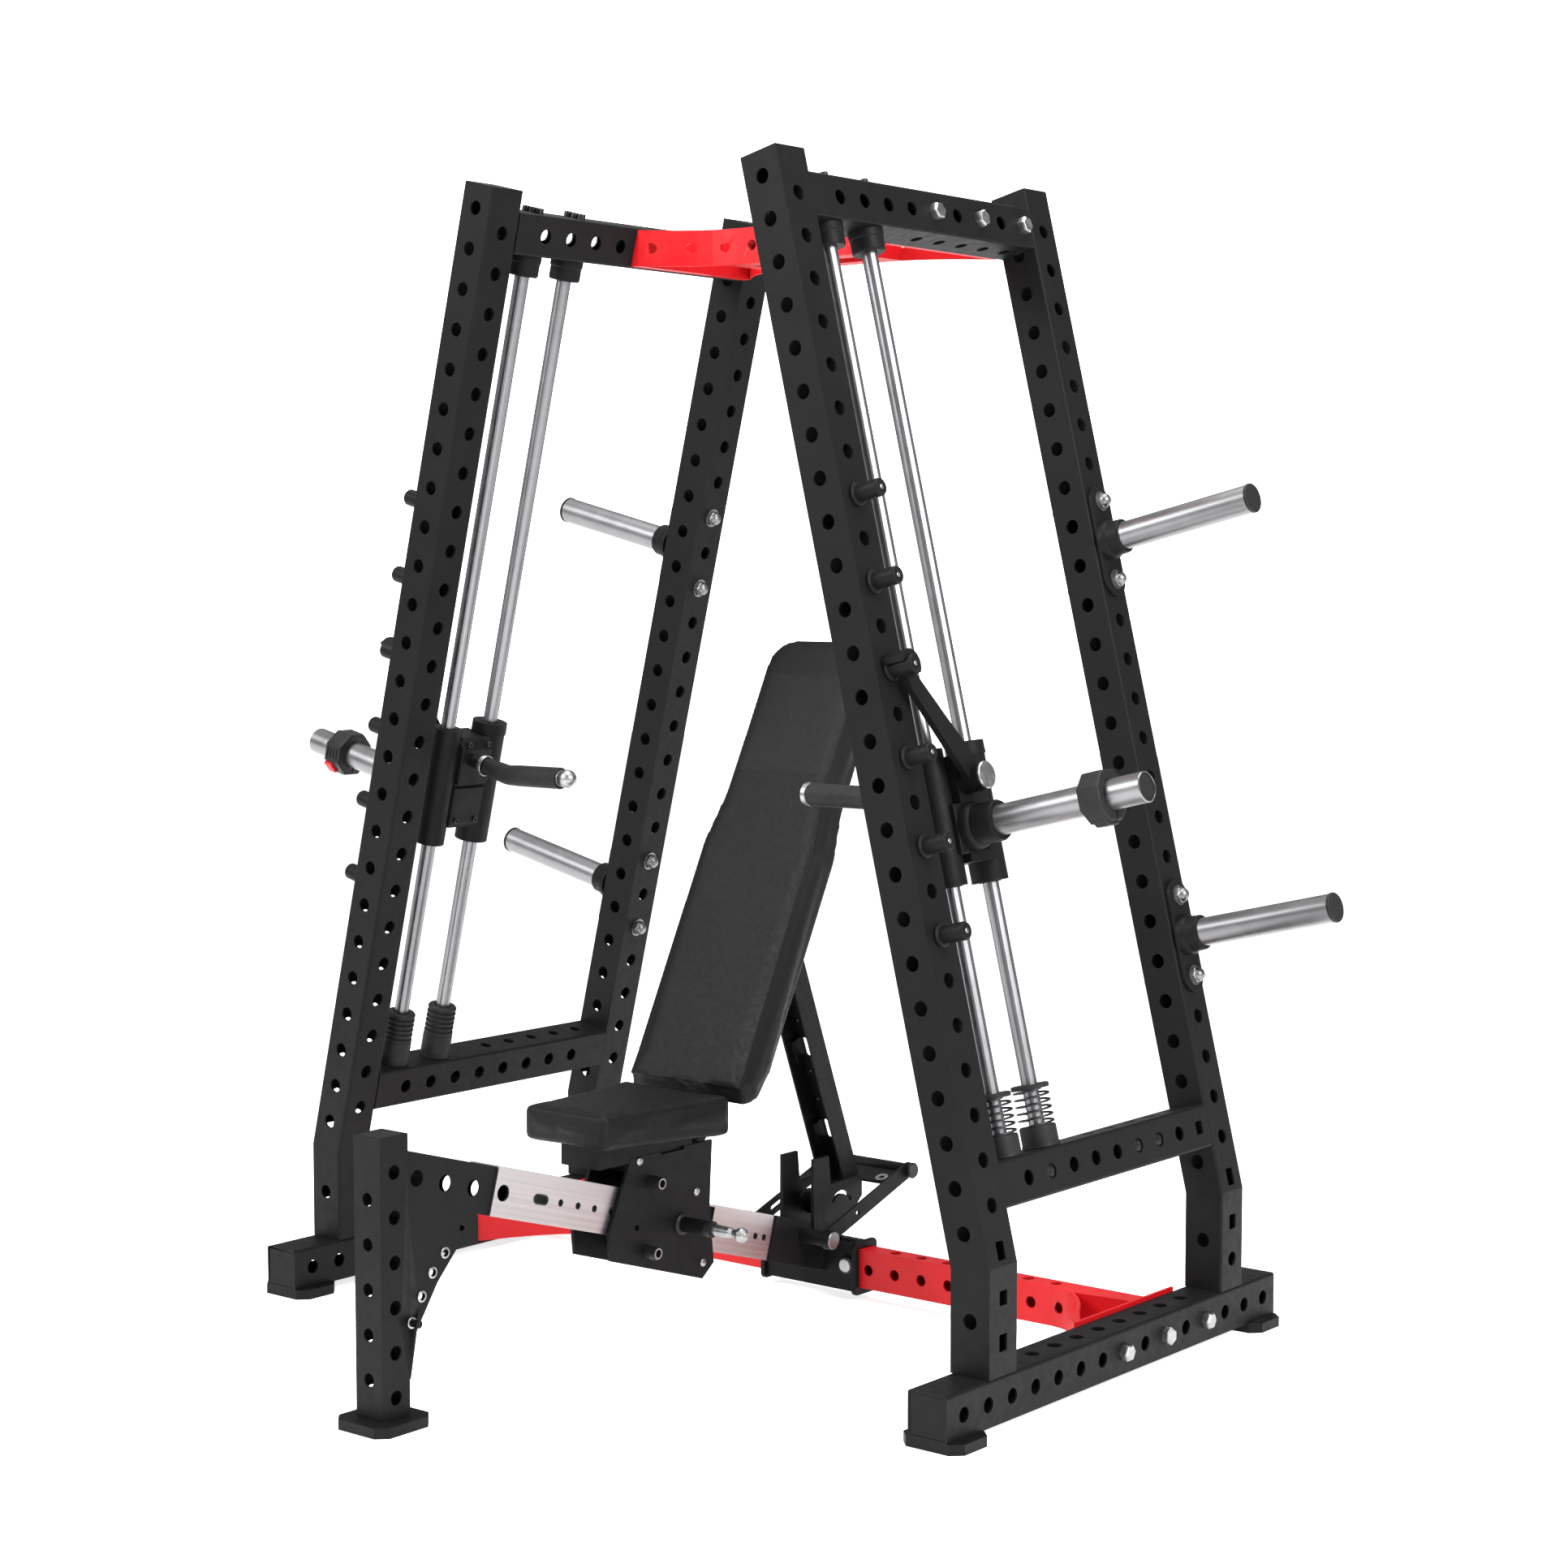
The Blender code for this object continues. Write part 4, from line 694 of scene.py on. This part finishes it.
def carriage(side_name, side):
    body = node = f"carriage_{side_name}"
    out, up = outwards(side), upwards(side)
    parts = [softened(copied(node), 0.0018, 3)]
    front_y, rear_y = ROD_Y["front"], ROD_Y["rear"]
    inner = Matrix.Translation(leaning(side, 0, 0, 0)) @ Matrix((out, Y_AXIS, up)).transposed().to_4x4()
    parts.append(softened(block((-0.029, front_y + 0.016, 0.634), (-0.01, rear_y - 0.016, 0.71), inner),
                          0.004, 3))
    chamfered = [(-0.01, 0.716), (-0.01, 0.802), (-0.02, 0.802), (-0.034, 0.786), (-0.034, 0.716)]
    start = rear_y - 0.016 if side > 0 else front_y + 0.016
    parts.append(softened(slab(chamfered, rear_y - front_y - 0.032,
                               at(leaning(side, 0, start, 0), -Y_AXIS * side, up)), 0.003, 3))
    parts.append(softened(block((0.018, SLEEVE_Y - 0.04, SLEEVE_D - 0.043),
                                (HALF - 0.0003, SLEEVE_Y + 0.04, SLEEVE_D + 0.04), inner), 0.003, 3))
    show_shell(node, joined(*parts), BLACK, body)
    rims = []
    bore = ROD_R + 0.0012
    for y, low, high in ((front_y, 0.596, 0.82), (rear_y, 0.596, 0.829)):
        place = at(leaning(side, 0, y, 0), up)
        for edge, inside in ((high, -1), (low, 1)):
            near, far = edge - 0.0002 * inside, edge + 0.0012 * -inside
            rims.append(lathe([(bore, near), (0.0185, near), (0.0185, far), (bore, far)], place, 32, True))
    show(joined(*rims), f"{node}_wipers", RUBBER, body)
    screws = []
    for d, depth in ((0.795, -0.034), (0.645, -0.029)):
        for y in (front_y + 0.03, rear_y - 0.03):
            screws += socket_bolt(leaning(side, depth, y, d), -out, 0.0055, 0.004)
    show(joined(*screws), f"{node}_screws", DARK_METAL, body)


def weight_sleeve(side_name, side):
    node = f"weight_sleeve_{side_name}"
    body = f"carriage_{side_name}"
    place = at(leaning(side, HALF, SLEEVE_Y, SLEEVE_D), outwards(side))
    end = SLEEVE_LENGTH
    tube = [(0.025, 0.058), (0.025, end - 0.0015), (0.0238, end), (0.0222, end), (0.0216, end - 0.001),
            (0.0216, end - 0.008), (0.015, end - 0.008), (0.015, 0.058)]
    show(lathe(tube, place, 56, True), f"{node}_tube", SATIN, body, [node])
    boss = [(0, 0.0003), (0.04, 0.0003), (0.04, 0.011), (0.038, 0.015), (0.0345, 0.018),
            (0.034, 0.054), (0.032, 0.058), (0.015, 0.058), (0, 0.058)]
    show(lathe(boss, place, 56), f"{node}_boss", BLACK, body)
    plug = [(0.0214, end - 0.008), (0.0214, end - 0.003), (0.02, end - 0.0018), (0, end - 0.0018)]
    show(lathe(plug, place, 48), f"{node}_plug", PLASTIC, body)


def sleeve_clip(side_name, side):
    """A split eight-sided jaw collar with its lever or release pad."""
    node = f"sleeve_clip_{side_name}"
    body = f"clip_{side_name}"
    width = 0.042
    low = CLIP_AT - width / 2
    place = at(leaning(side, HALF, SLEEVE_Y, SLEEVE_D), outwards(side), upwards(side))
    shape = place @ Matrix.Translation((0, 0, low))
    r = 0.044
    prism = [(0, 0), (r - 0.004, 0), (r - 0.001, 0.0015), (r, 0.005), (r, width - 0.005),
             (r - 0.001, width - 0.0015), (r - 0.004, width), (0, width)]
    jaw = lathe(prism, shape @ Matrix.Rotation(pi / 8, 4, "Z"), 8)
    bore = lathe([(0, -0.01), (0.0256, -0.01), (0.0256, width + 0.01), (0, width + 0.01)], shape, 48)
    split = block((-0.0012, -0.06, -0.01), (0.0012, -0.02, width + 0.01), shape)
    jaw = softened(drilled(drilled(jaw, [bore]), [split]), 0.0012, 2, 30)
    ridges = []
    for i in range(4):
        z = 0.008 + i * 0.0083
        ridges.append(softened(block((0.0385, -0.01, z), (0.0425, 0.01, z + 0.0035), shape), 0.001))
    show(joined(jaw, *ridges), f"{node}_jaw", PLASTIC, body, [node])
    if side > 0:
        outline = [(-0.02, -0.036), (-0.02, -0.041), (-0.013, -0.047), (0.013, -0.047), (0.02, -0.041),
                   (0.02, -0.036)]
        lever = slab(outline, 0.026, shape @ Matrix.Translation((0, 0, width / 2 - 0.013)))
    else:
        turned = shape @ Matrix.Rotation(radians(-135), 4, "Z")
        lever = block((-0.013, 0.037, width * 0.45), (0.013, 0.0465, width - 0.002), turned)
    look = PLASTIC if side > 0 else RED_PLASTIC
    show(softened(lever, 0.003, 3), f"{node}_lever", look, body)


def handle_line(side, length):
    """A point along the level part of the handle, measured from the bend."""
    level = Vector((-cos(LEAN), sin(LEAN)))
    spot = Vector((STUB_END, SHAFT_D)) + level * length
    return leaning(side, HALF + spot.x, SHAFT_Y, spot.y)


def hook_handle(side_name, side):
    node = f"hook_handle_{side_name}"
    body = f"hook_{side_name}"
    out = outwards(side)
    shell = copied(node)
    end = (HANDLE_END - STUB_END) / -cos(LEAN)
    direction = handle_line(side, 1) - handle_line(side, 0)
    if side < 0:
        # a bright ball ends this handle, in place of the flat cap
        shell = drilled(shell, [bar(handle_line(side, end - 0.0112), handle_line(side, end + 0.02), 0.03)])
    show_shell(node, softened(shell, 0.0015, 3, 30), BLACK, body)
    hub = at(leaning(side, HALF, SHAFT_Y, SHAFT_D), out)
    face = [(0.023, 0.0395), (0.023, 0.0425), (0.021, 0.0445), (0, 0.0445)]
    bright = [lathe(face, hub, 48)]
    ring = [(0.0125, -0.111), (0.019, -0.111), (0.02, -0.1095), (0.02, -0.103), (0.0185, -0.101),
            (0.0125, -0.101)]
    bright.append(lathe(ring, hub, 40, True))
    tip = at(handle_line(side, end), direction)
    if side > 0:
        cap = [(0.0192, -0.0105), (0.0202, -0.0095), (0.0202, -0.0015), (0.0188, 0), (0, 0)]
        bright.append(lathe(cap, tip, 40))
    else:
        ball = [(0.0168 * cos(radians(a)), -0.004 + 0.0168 * sin(radians(a))) for a in range(-50, 90, 14)]
        profile = [(0.015, -0.02), (0.0158, -0.019), (0.0158, -0.0165)] + ball + [(0, 0.0128)]
        bright.append(lathe(profile, at(handle_line(side, end - 0.013), direction), 40))
    show(joined(*bright), f"{node}_bright_parts", ZINC, body)
    grip_node = f"grip_{side_name}"
    path = [leaning(side, HALF + offset, SHAFT_Y, SHAFT_D) for offset in (-0.1125, -0.1135, -0.14, -0.156)]
    path += [(path[-1] + handle_line(side, 0)) / 2 - outwards(side) * 0.003, handle_line(side, 0.003)]
    stop = end - 0.0105 if side > 0 else end - 0.0325
    path += [handle_line(side, length) for length in (0.012, 0.03, stop - 0.0015, stop)]
    radii = [0.015, 0.0165, 0.0172, 0.0178, 0.0181, 0.0184, 0.0188, 0.0194, 0.0198, 0.0185]
    show(wire(path, radii, 40), f"{grip_node}_sleeve", RUBBER, body, [grip_node])


# ---------------------------------------------------------------- cross members

def cross_members():
    shell = softened(copied("bottom_cross_member"), 0.002, 3, 60)
    holes = []
    for side in (1, -1):
        for n in range(8):
            front = Vector((side * (0.133 + 0.0603 * n), 0.398, 0.0605))
            holes.append(through(front, Y_AXIS, 0.0105, 0.02))
        for n in range(7):
            top = Vector((side * (0.182 + 0.059 * n), 0.417, 0.097))
            holes.append(through(top, Z_AXIS, 0.0105, 0.02))
    rear_wall = block((-0.54, 0.434, 0.029), (0.54, 0.438, 0.093))
    show(rear_wall, "bottom_cross_member_lining", RED, "frame")
    show_shell("bottom_cross_member", drilled(shell, holes), RED, "frame")
    shell = softened(copied("top_cross_member"), 0.0025, 3, 60)
    holes = []
    middle_z = leaning(1, -HALF, 0, TOP_BEAM_D).z
    for side in (1, -1):
        for n in range(5):
            x = side * (0.0305 + 0.0605 * n)
            holes.append(through(Vector((x, 0.31, middle_z)), Y_AXIS, 0.01, 0.11))
            holes.append(through(Vector((x, 0.5, middle_z)), Y_AXIS, 0.01, 0.11))
    show_shell("top_cross_member", drilled(shell, holes), RED, "frame")
    bolts = []
    for side in (1, -1):
        for y, direction in ((0.27, -Y_AXIS), (0.534, Y_AXIS)):
            bolts += dome_screw(Vector((side * 0.325, y, middle_z)), direction, 0.0105, 0.008)
    show(joined(*bolts), "cross_member_bolts", ZINC, "frame")


# ---------------------------------------------------------------- bench

def bench_frame():
    shell = softened(copied("bench_frame"), 0.0016, 2, 45)
    holes = []
    for n in range(6):
        holes.append(through(Vector((0, POST_Y, 0.411 - 0.0721 * n)), X_AXIS, 0.012))
    for n in range(5):
        holes.append(through(Vector((0, POST_Y, 0.369 - 0.0721 * n)), Y_AXIS, 0.011))
    for along in (0.035, 0.0996, 0.1653, 0.232):
        holes.append(through(on_rail(along, 0), X_AXIS, 0.0138))
    holes.append(through(Vector((0, -0.5438, 0.2965)), X_AXIS, 0.006))
    rings = []
    washer = [(0.0065, 0), (0.0095, 0), (0.0095, 0.0012), (0.0085, 0.0018), (0.0065, 0.0018)]
    for y, z in ((-0.5828, 0.263), (-0.6108, 0.236), (-0.6348, 0.202), (-0.6568, 0.164)):
        holes.append(through(Vector((0, y, z)), X_AXIS, 0.0064))
        for side in (1, -1):
            place = at(Vector((side * 0.0298, y, z)), X_AXIS * side)
            rings.append(lathe(washer, place, 28, True))
    show_shell("bench_frame", drilled(shell, holes), BLACK, "frame")
    show(joined(*rings), "gusset_rings", ZINC, "frame")
    cap = slab(rectangle(0.0535, 0.0535, 0.003), 0.004, at(Vector((0, POST_Y, 0.4645)), Z_AXIS, Y_AXIS))
    show(softened(cap, 0.001), "bench_post_cap", PLASTIC, "frame")


def slide_strip():
    shell = copied("slide_strip")
    holes = [through(on_rail(along, 0), X_AXIS, 0.0062, 0.09, 20)
             for along in (0.3732, 0.417, 0.4592, 0.5033, 0.824, 0.8678, 0.9043, 0.93)]
    holes.append(through(on_rail(0.232, 0), X_AXIS, 0.0138, 0.09))
    down = on_rail(1, 0) - on_rail(0, 0)
    slot_centre = on_rail(0.3237, 0)
    slot = slot_tool(slot_centre, X_AXIS, down, 0.03, 0.0125, 0.09)
    holes.append(slot)
    shell = softened(drilled(shell, holes), 0.0006, 2, 50)
    show_shell("slide_strip", shell, STAINLESS, "frame")
    rims = []
    for side in (1, -1):
        outline = [(y, x) for x, y in oblong(0.035, 0.0175)]
        place = at(slot_centre + X_AXIS * side * 0.0337, X_AXIS * side, down)
        rims.append(drilled(slab(outline, 0.0012, place), [slot]))
    show(joined(*rims), "strip_slot_rims", PLASTIC, "frame")


def seat_carriage():
    shell = softened(copied("seat_carriage"), 0.0012, 2, 45)
    near, far = 0.0385, 0.045
    holes = []
    for side in (1, -1):
        holes.append(through(Vector((side * (near + far) / 2, -0.1408, 0.225)), X_AXIS, 0.0055, 0.02))
        notch = Vector((side * far, -0.048, 0.3465))
        holes.append(window_tool(notch, X_AXIS, Z_AXIS, 0.062, 0.0075, 0.01))
    show_shell("seat_carriage", drilled(shell, holes), BLACK, "seat")
    dark, bright = [], []
    spacer = [(0.0115, 0), (0.0115, 0.026), (0.01, 0.0285), (0.0075, 0.0285), (0.007, 0.02), (0, 0.02)]
    rim = [(0.0072, 0.0275), (0.0095, 0.0275), (0.0095, 0.0293), (0.0072, 0.0293)]
    for side in (1, -1):
        out = X_AXIS * side
        for y, z in ((-0.1068, 0.3), (-0.1178, 0.18)):
            place = at(Vector((side * (far - 0.0005), y, z)), out)
            dark.append(lathe(spacer, place, 28))
            bright.append(lathe(rim, place, 28, True))
        for y, z in ((-0.1338, 0.34), (0.0152, 0.262), (0.0322, 0.132)):
            bright += dome_screw(Vector((side * far, y, z)), out, 0.0075, 0.004)
    pin_y, pin_z = on_rail(0.679, 0).yz
    place = at(Vector((far, pin_y, pin_z)), X_AXIS)
    dark.append(lathe([(0.0195, 0), (0.0195, 0.004), (0.0165, 0.007), (0.0145, 0.0075)], place, 32))
    nose = [(0.0092, 0.06), (0.0142, 0.06), (0.0148, 0.062), (0.0142, 0.0732), (0.0092, 0.0732)]
    dark.append(lathe(nose, place, 32, True))
    show(joined(*dark), "seat_spacers", PLASTIC, "seat")
    show(joined(*bright), "seat_screws", ZINC, "seat")
    pin = NODES["seat_pin"]
    pin.data.materials.clear()
    pin.data.materials.append(ZINC)


def backrest_frame():
    show_shell("back_bracket", softened(copied("back_bracket"), 0.0015, 2), BLACK, "backrest")
    shell = copied("strut")
    along = (STRUT_TOP - STRUT_FOOT).normalized()
    up = Vector((0, along.x, along.y))
    rear = Vector((0, along.y, -along.x))
    holes, rivets = [], []
    web = 0.0215

    def on_strut(height, back, x=0.0):
        spot = STRUT_FOOT + along * height
        return Vector((x, spot.x, spot.y)) + rear * back

    blocks = []
    upright_strut = at(on_strut(0, 0), -rear, up)
    for height in (0.107, 0.283):
        for side in (1, -1):
            holes.append(slot_tool(on_strut(height, web, side * 0.0125), rear, up, 0.04, 0.011, 0.03))
            near, far = sorted((side * 0.0195, side * 0.0285))
            low, high = (near, height - 0.022, -web + 0.003), (far, height + 0.022, 0.008)
            blocks.append(block(low, high, upright_strut))
    for height in (0.17, 0.231, 0.339):
        for x in (-0.019, -0.006, 0.006, 0.019):
            rivets += dome_screw(on_strut(height, web - 0.0038, x), -rear, 0.0055, 0.003)
    shell = joined(drilled(shell, holes), *blocks)
    show_shell("strut", softened(shell, 0.0012, 2, 45), BLACK, "strut")
    show(joined(*rivets), "strut_rivets", DARK_METAL, "strut")


def yoke_lever():
    shell = copied("yoke_lever")
    run = (YOKE_END - YOKE_PIVOT).normalized()
    ahead = Vector((0, run.x, run.y))

    def on_arm(length, x):
        spot = YOKE_PIVOT + run * length
        return Vector((x, spot.x, spot.y))

    holes = [through(on_arm(0.1, 0.09), X_AXIS, 0.0048, 0.02, 20)]
    for length in (0.08, 0.15):
        holes.append(slot_tool(on_arm(length, -0.09), X_AXIS, ahead, 0.034, 0.009, 0.02))
    show_shell("yoke_lever", softened(drilled(shell, holes), 0.001, 2, 45), BLACK, "yoke")
    bright = []
    above = Vector((0, -run.y, run.x))
    for x in (0.06, -0.06):
        place = at(on_arm(0.224, x) + above * 0.002, above)
        washer = [(0.0055, 0), (0.0125, 0), (0.0125, 0.002), (0.0055, 0.002)]
        bright.append(lathe(washer, place, 24, True))
    show(joined(*bright), "yoke_washers", ZINC, "yoke")
    caps = []
    for side in (1, -1):
        end = Vector((side * 0.1, YOKE_END.x, YOKE_END.y))
        cap = [(0.015, -0.002), (0.015, 0.0035), (0.013, 0.0055), (0, 0.0055)]
        caps.append(lathe(cap, at(end, X_AXIS * side), 32))
    show(joined(*caps), "yoke_end_caps", PLASTIC, "yoke")


def saddle():
    shell = softened(copied("saddle_bracket"), 0.0015, 2, 45)
    parts = [shell]
    for side in (1, -1):
        x = side * 0.1085
        outline = rectangle(0.068, 0.1, 0.01)
        place = at(Vector((x, 0.418, 0.061)), X_AXIS * side, Z_AXIS)
        rim = slab(outline, 0.01, place @ Matrix.Translation((0, 0, -0.005)))
        bore = slab(rectangle(0.041, 0.073, 0.002), 0.03, place @ Matrix.Translation((0, 0, -0.015)))
        parts.append(softened(drilled(rim, [bore]), 0.0025, 3, 50))
    show_shell("saddle_bracket", joined(*parts), BLACK, "frame")
    bright, knurled, dark = [], [], []
    for x in (0.09, -0.09):
        place = at(Vector((x, 0.3918, 0.066)), -Y_AXIS)
        dark.append(lathe([(0.0165, 0), (0.0165, 0.007), (0.0145, 0.009), (0.0125, 0.009), (0.0125, 0)],
                          place, 36, True))
        bright.append(lathe([(0.0125, 0), (0.0125, 0.0095), (0.0115, 0.0105), (0, 0.0105)], place, 36))
    for side in (1, -1):
        place = at(Vector((side * 0.108, YOKE_PIVOT.x, YOKE_PIVOT.y)), X_AXIS * side)
        knurled.append(lathe([(0.0165, 0), (0.0165, 0.0012), (0.015, 0.0025), (0, 0.0025)], place, 36))
    bright += dome_screw(Vector((0.0372, 0.394, 0.108)), X_AXIS, 0.006, 0.004)
    for x in (-0.012, 0.004, 0.02, 0.036):
        dark += socket_bolt(Vector((0.055 + x, 0.418, 0.1048)), Z_AXIS, 0.006, 0.006)
    show(joined(*bright), "saddle_bolts", ZINC, "frame")
    show(joined(*dark), "saddle_screws", DARK_METAL, "frame")
    show(joined(*knurled), "pivot_knob_faces", NUT_METAL, "frame")


# ---------------------------------------------------------------- pads

def simulated(obj, inflate, cap, frames=20):
    """Let a little pressure swell a closed pad, and cap how far its points move."""
    before = [v.co.copy() for v in obj.data.vertices]
    scene = bpy.context.scene
    scene.collection.objects.link(obj)
    cloth = obj.modifiers.new("swell", "CLOTH")
    settings = cloth.settings
    settings.use_pressure = True
    settings.uniform_pressure_force = inflate
    settings.effector_weights.gravity = 0
    settings.quality = 5
    settings.tension_stiffness = 40
    settings.compression_stiffness = 40
    cloth.point_cache.frame_start = 1
    cloth.point_cache.frame_end = frames
    for number in range(1, frames + 1):
        scene.frame_set(number)
    evaluated = obj.evaluated_get(bpy.context.evaluated_depsgraph_get())
    after = [v.co.copy() for v in evaluated.data.vertices]
    obj.modifiers.clear()
    scene.collection.objects.unlink(obj)
    scene.frame_set(1)
    for vertex, old, new in zip(obj.data.vertices, before, after):
        move = new - old
        if move.length > cap:
            move *= cap / move.length
        vertex.co = old + move
    return obj


def upholstered(node, voxel, swelling):
    """The pad's CAD solid drawn in a little, then swollen back and smoothed."""
    pad = with_modifier(copied(node), "REMESH", mode="VOXEL", voxel_size=voxel, adaptivity=0)
    pad = with_modifier(pad, "DISPLACE", strength=-0.0022, mid_level=0)
    pad = simulated(pad, swelling, 0.0028)
    pad = with_modifier(pad, "SMOOTH", factor=0.5, iterations=3)
    return with_modifier(pad, "SUBSURF", levels=1, render_levels=1)


def back_pad():
    pad = upholstered("back_pad", 0.005, 4.0)
    show(pad, "back_pad_cover", VINYL, "backrest", ["back_pad"], 70)
    # a sewn panel crosses the pad, and its sides are of the same lighter cloth
    up = on_back(1, 0) - on_back(0, 0)
    pad.data.materials.append(PANEL_VINYL)
    for face in pad.data.polygons:
        along = (face.center - on_back(0, 0)).dot(up)
        if 0.595 < along < 0.79 or abs(face.normal.x) > 0.8:
            face.material_index = 1
    board = []
    for low, high, half in ((0.05, 0.45, 0.112), (0.45, 0.8, 0.094)):
        place = at(on_back(0, BACK_THICKNESS - 0.0049), on_back(0, 1) - on_back(0, 0), up)
        board.append(block((-half, low, 0), (half, high, 0.0045), place))
    show(softened(joined(*board), 0.001), "back_pad_board", PLASTIC, "backrest")


def seat_pad():
    pad = upholstered("seat_pad", 0.0045, 4.0)
    show(pad, "seat_pad_cover", VINYL, "seat", ["seat_pad"], 70)


# ---------------------------------------------------------------- the whole machine

for side_name, side in SIDES:
    side_frame(side_name, side)
    rod_stops(side_name, side)
    pins_and_pegs(side_name, side)
    carriage(side_name, side)
    weight_sleeve(side_name, side)
    sleeve_clip(side_name, side)
    hook_handle(side_name, side)
cross_members()
bench_frame()
slide_strip()
seat_carriage()
backrest_frame()
yoke_lever()
saddle()
back_pad()
seat_pad()


# ---------------------------------------------------------------- floor, light and camera

def floor():
    size = 14.0
    work = bmesh.new()
    around = ((-1, -1), (1, -1), (1, 1), (-1, 1))
    work.faces.new([work.verts.new((x * size, y * size, -0.0005)) for x, y in around])
    made = loose(work)
    bpy.context.scene.collection.objects.link(made)
    made.name = "floor"
    look, tree, shader = node_material("floor_paint", (0.9, 0.9, 0.9), 0.9)
    shader.inputs["Specular IOR Level"].default_value = 0.1
    shader.inputs["Emission Color"].default_value = (1, 1, 1, 1)
    shader.inputs["Emission Strength"].default_value = 0.75
    tree.links.new(blended(tree, noise(tree, 2, 2), (0.89, 0.89, 0.89), (0.91, 0.91, 0.91)),
                   shader.inputs["Base Color"])
    made.data.materials.append(look)


def area_light(name, location, target, size, power):
    data = bpy.data.lights.new(name, "AREA")
    data.shape = "RECTANGLE"
    data.size, data.size_y = size
    data.energy = power
    obj = bpy.data.objects.new(name, data)
    obj.location = location
    obj.rotation_euler = (Vector(target) - Vector(location)).to_track_quat("-Z", "Y").to_euler()
    bpy.context.scene.collection.objects.link(obj)


def studio():
    world = bpy.data.worlds.new("studio")
    world.use_nodes = True
    tree = world.node_tree
    background = tree.nodes["Background"]
    background.inputs["Color"].default_value = (1, 1, 1, 1)
    # the backdrop is seen brighter than the light it sheds
    path = tree.nodes.new("ShaderNodeLightPath")
    strength = ranged(tree, path.outputs["Is Camera Ray"], 0.4, 3.0, 0, 1)
    tree.links.new(strength, background.inputs["Strength"])
    bpy.context.scene.world = world
    bpy.context.scene.view_settings.view_transform = "Standard"
    area_light("key", (-2.5, -5.0, 4.5), (0, 0, 0.9), (3.0, 3.0), 500)
    area_light("side", (5.0, -0.5, 3.5), (0, 0, 0.9), (3.0, 3.0), 450)
    area_light("top", (0.0, 0.2, 5.0), (0, 0.2, 0), (4.0, 4.0), 350)


def camera():
    data = bpy.data.cameras.new("view")
    data.sensor_width = 36
    data.lens = 65.7
    data.clip_start = 0.1
    obj = bpy.data.objects.new("view", data)
    obj.location = (3.2936, -3.7447, 1.3553)
    obj.rotation_euler = (radians(90 - 4.31), 0, radians(39.05))
    bpy.context.scene.collection.objects.link(obj)
    bpy.context.scene.camera = obj


floor()
studio()
camera()

bpy.context.view_layer.update()
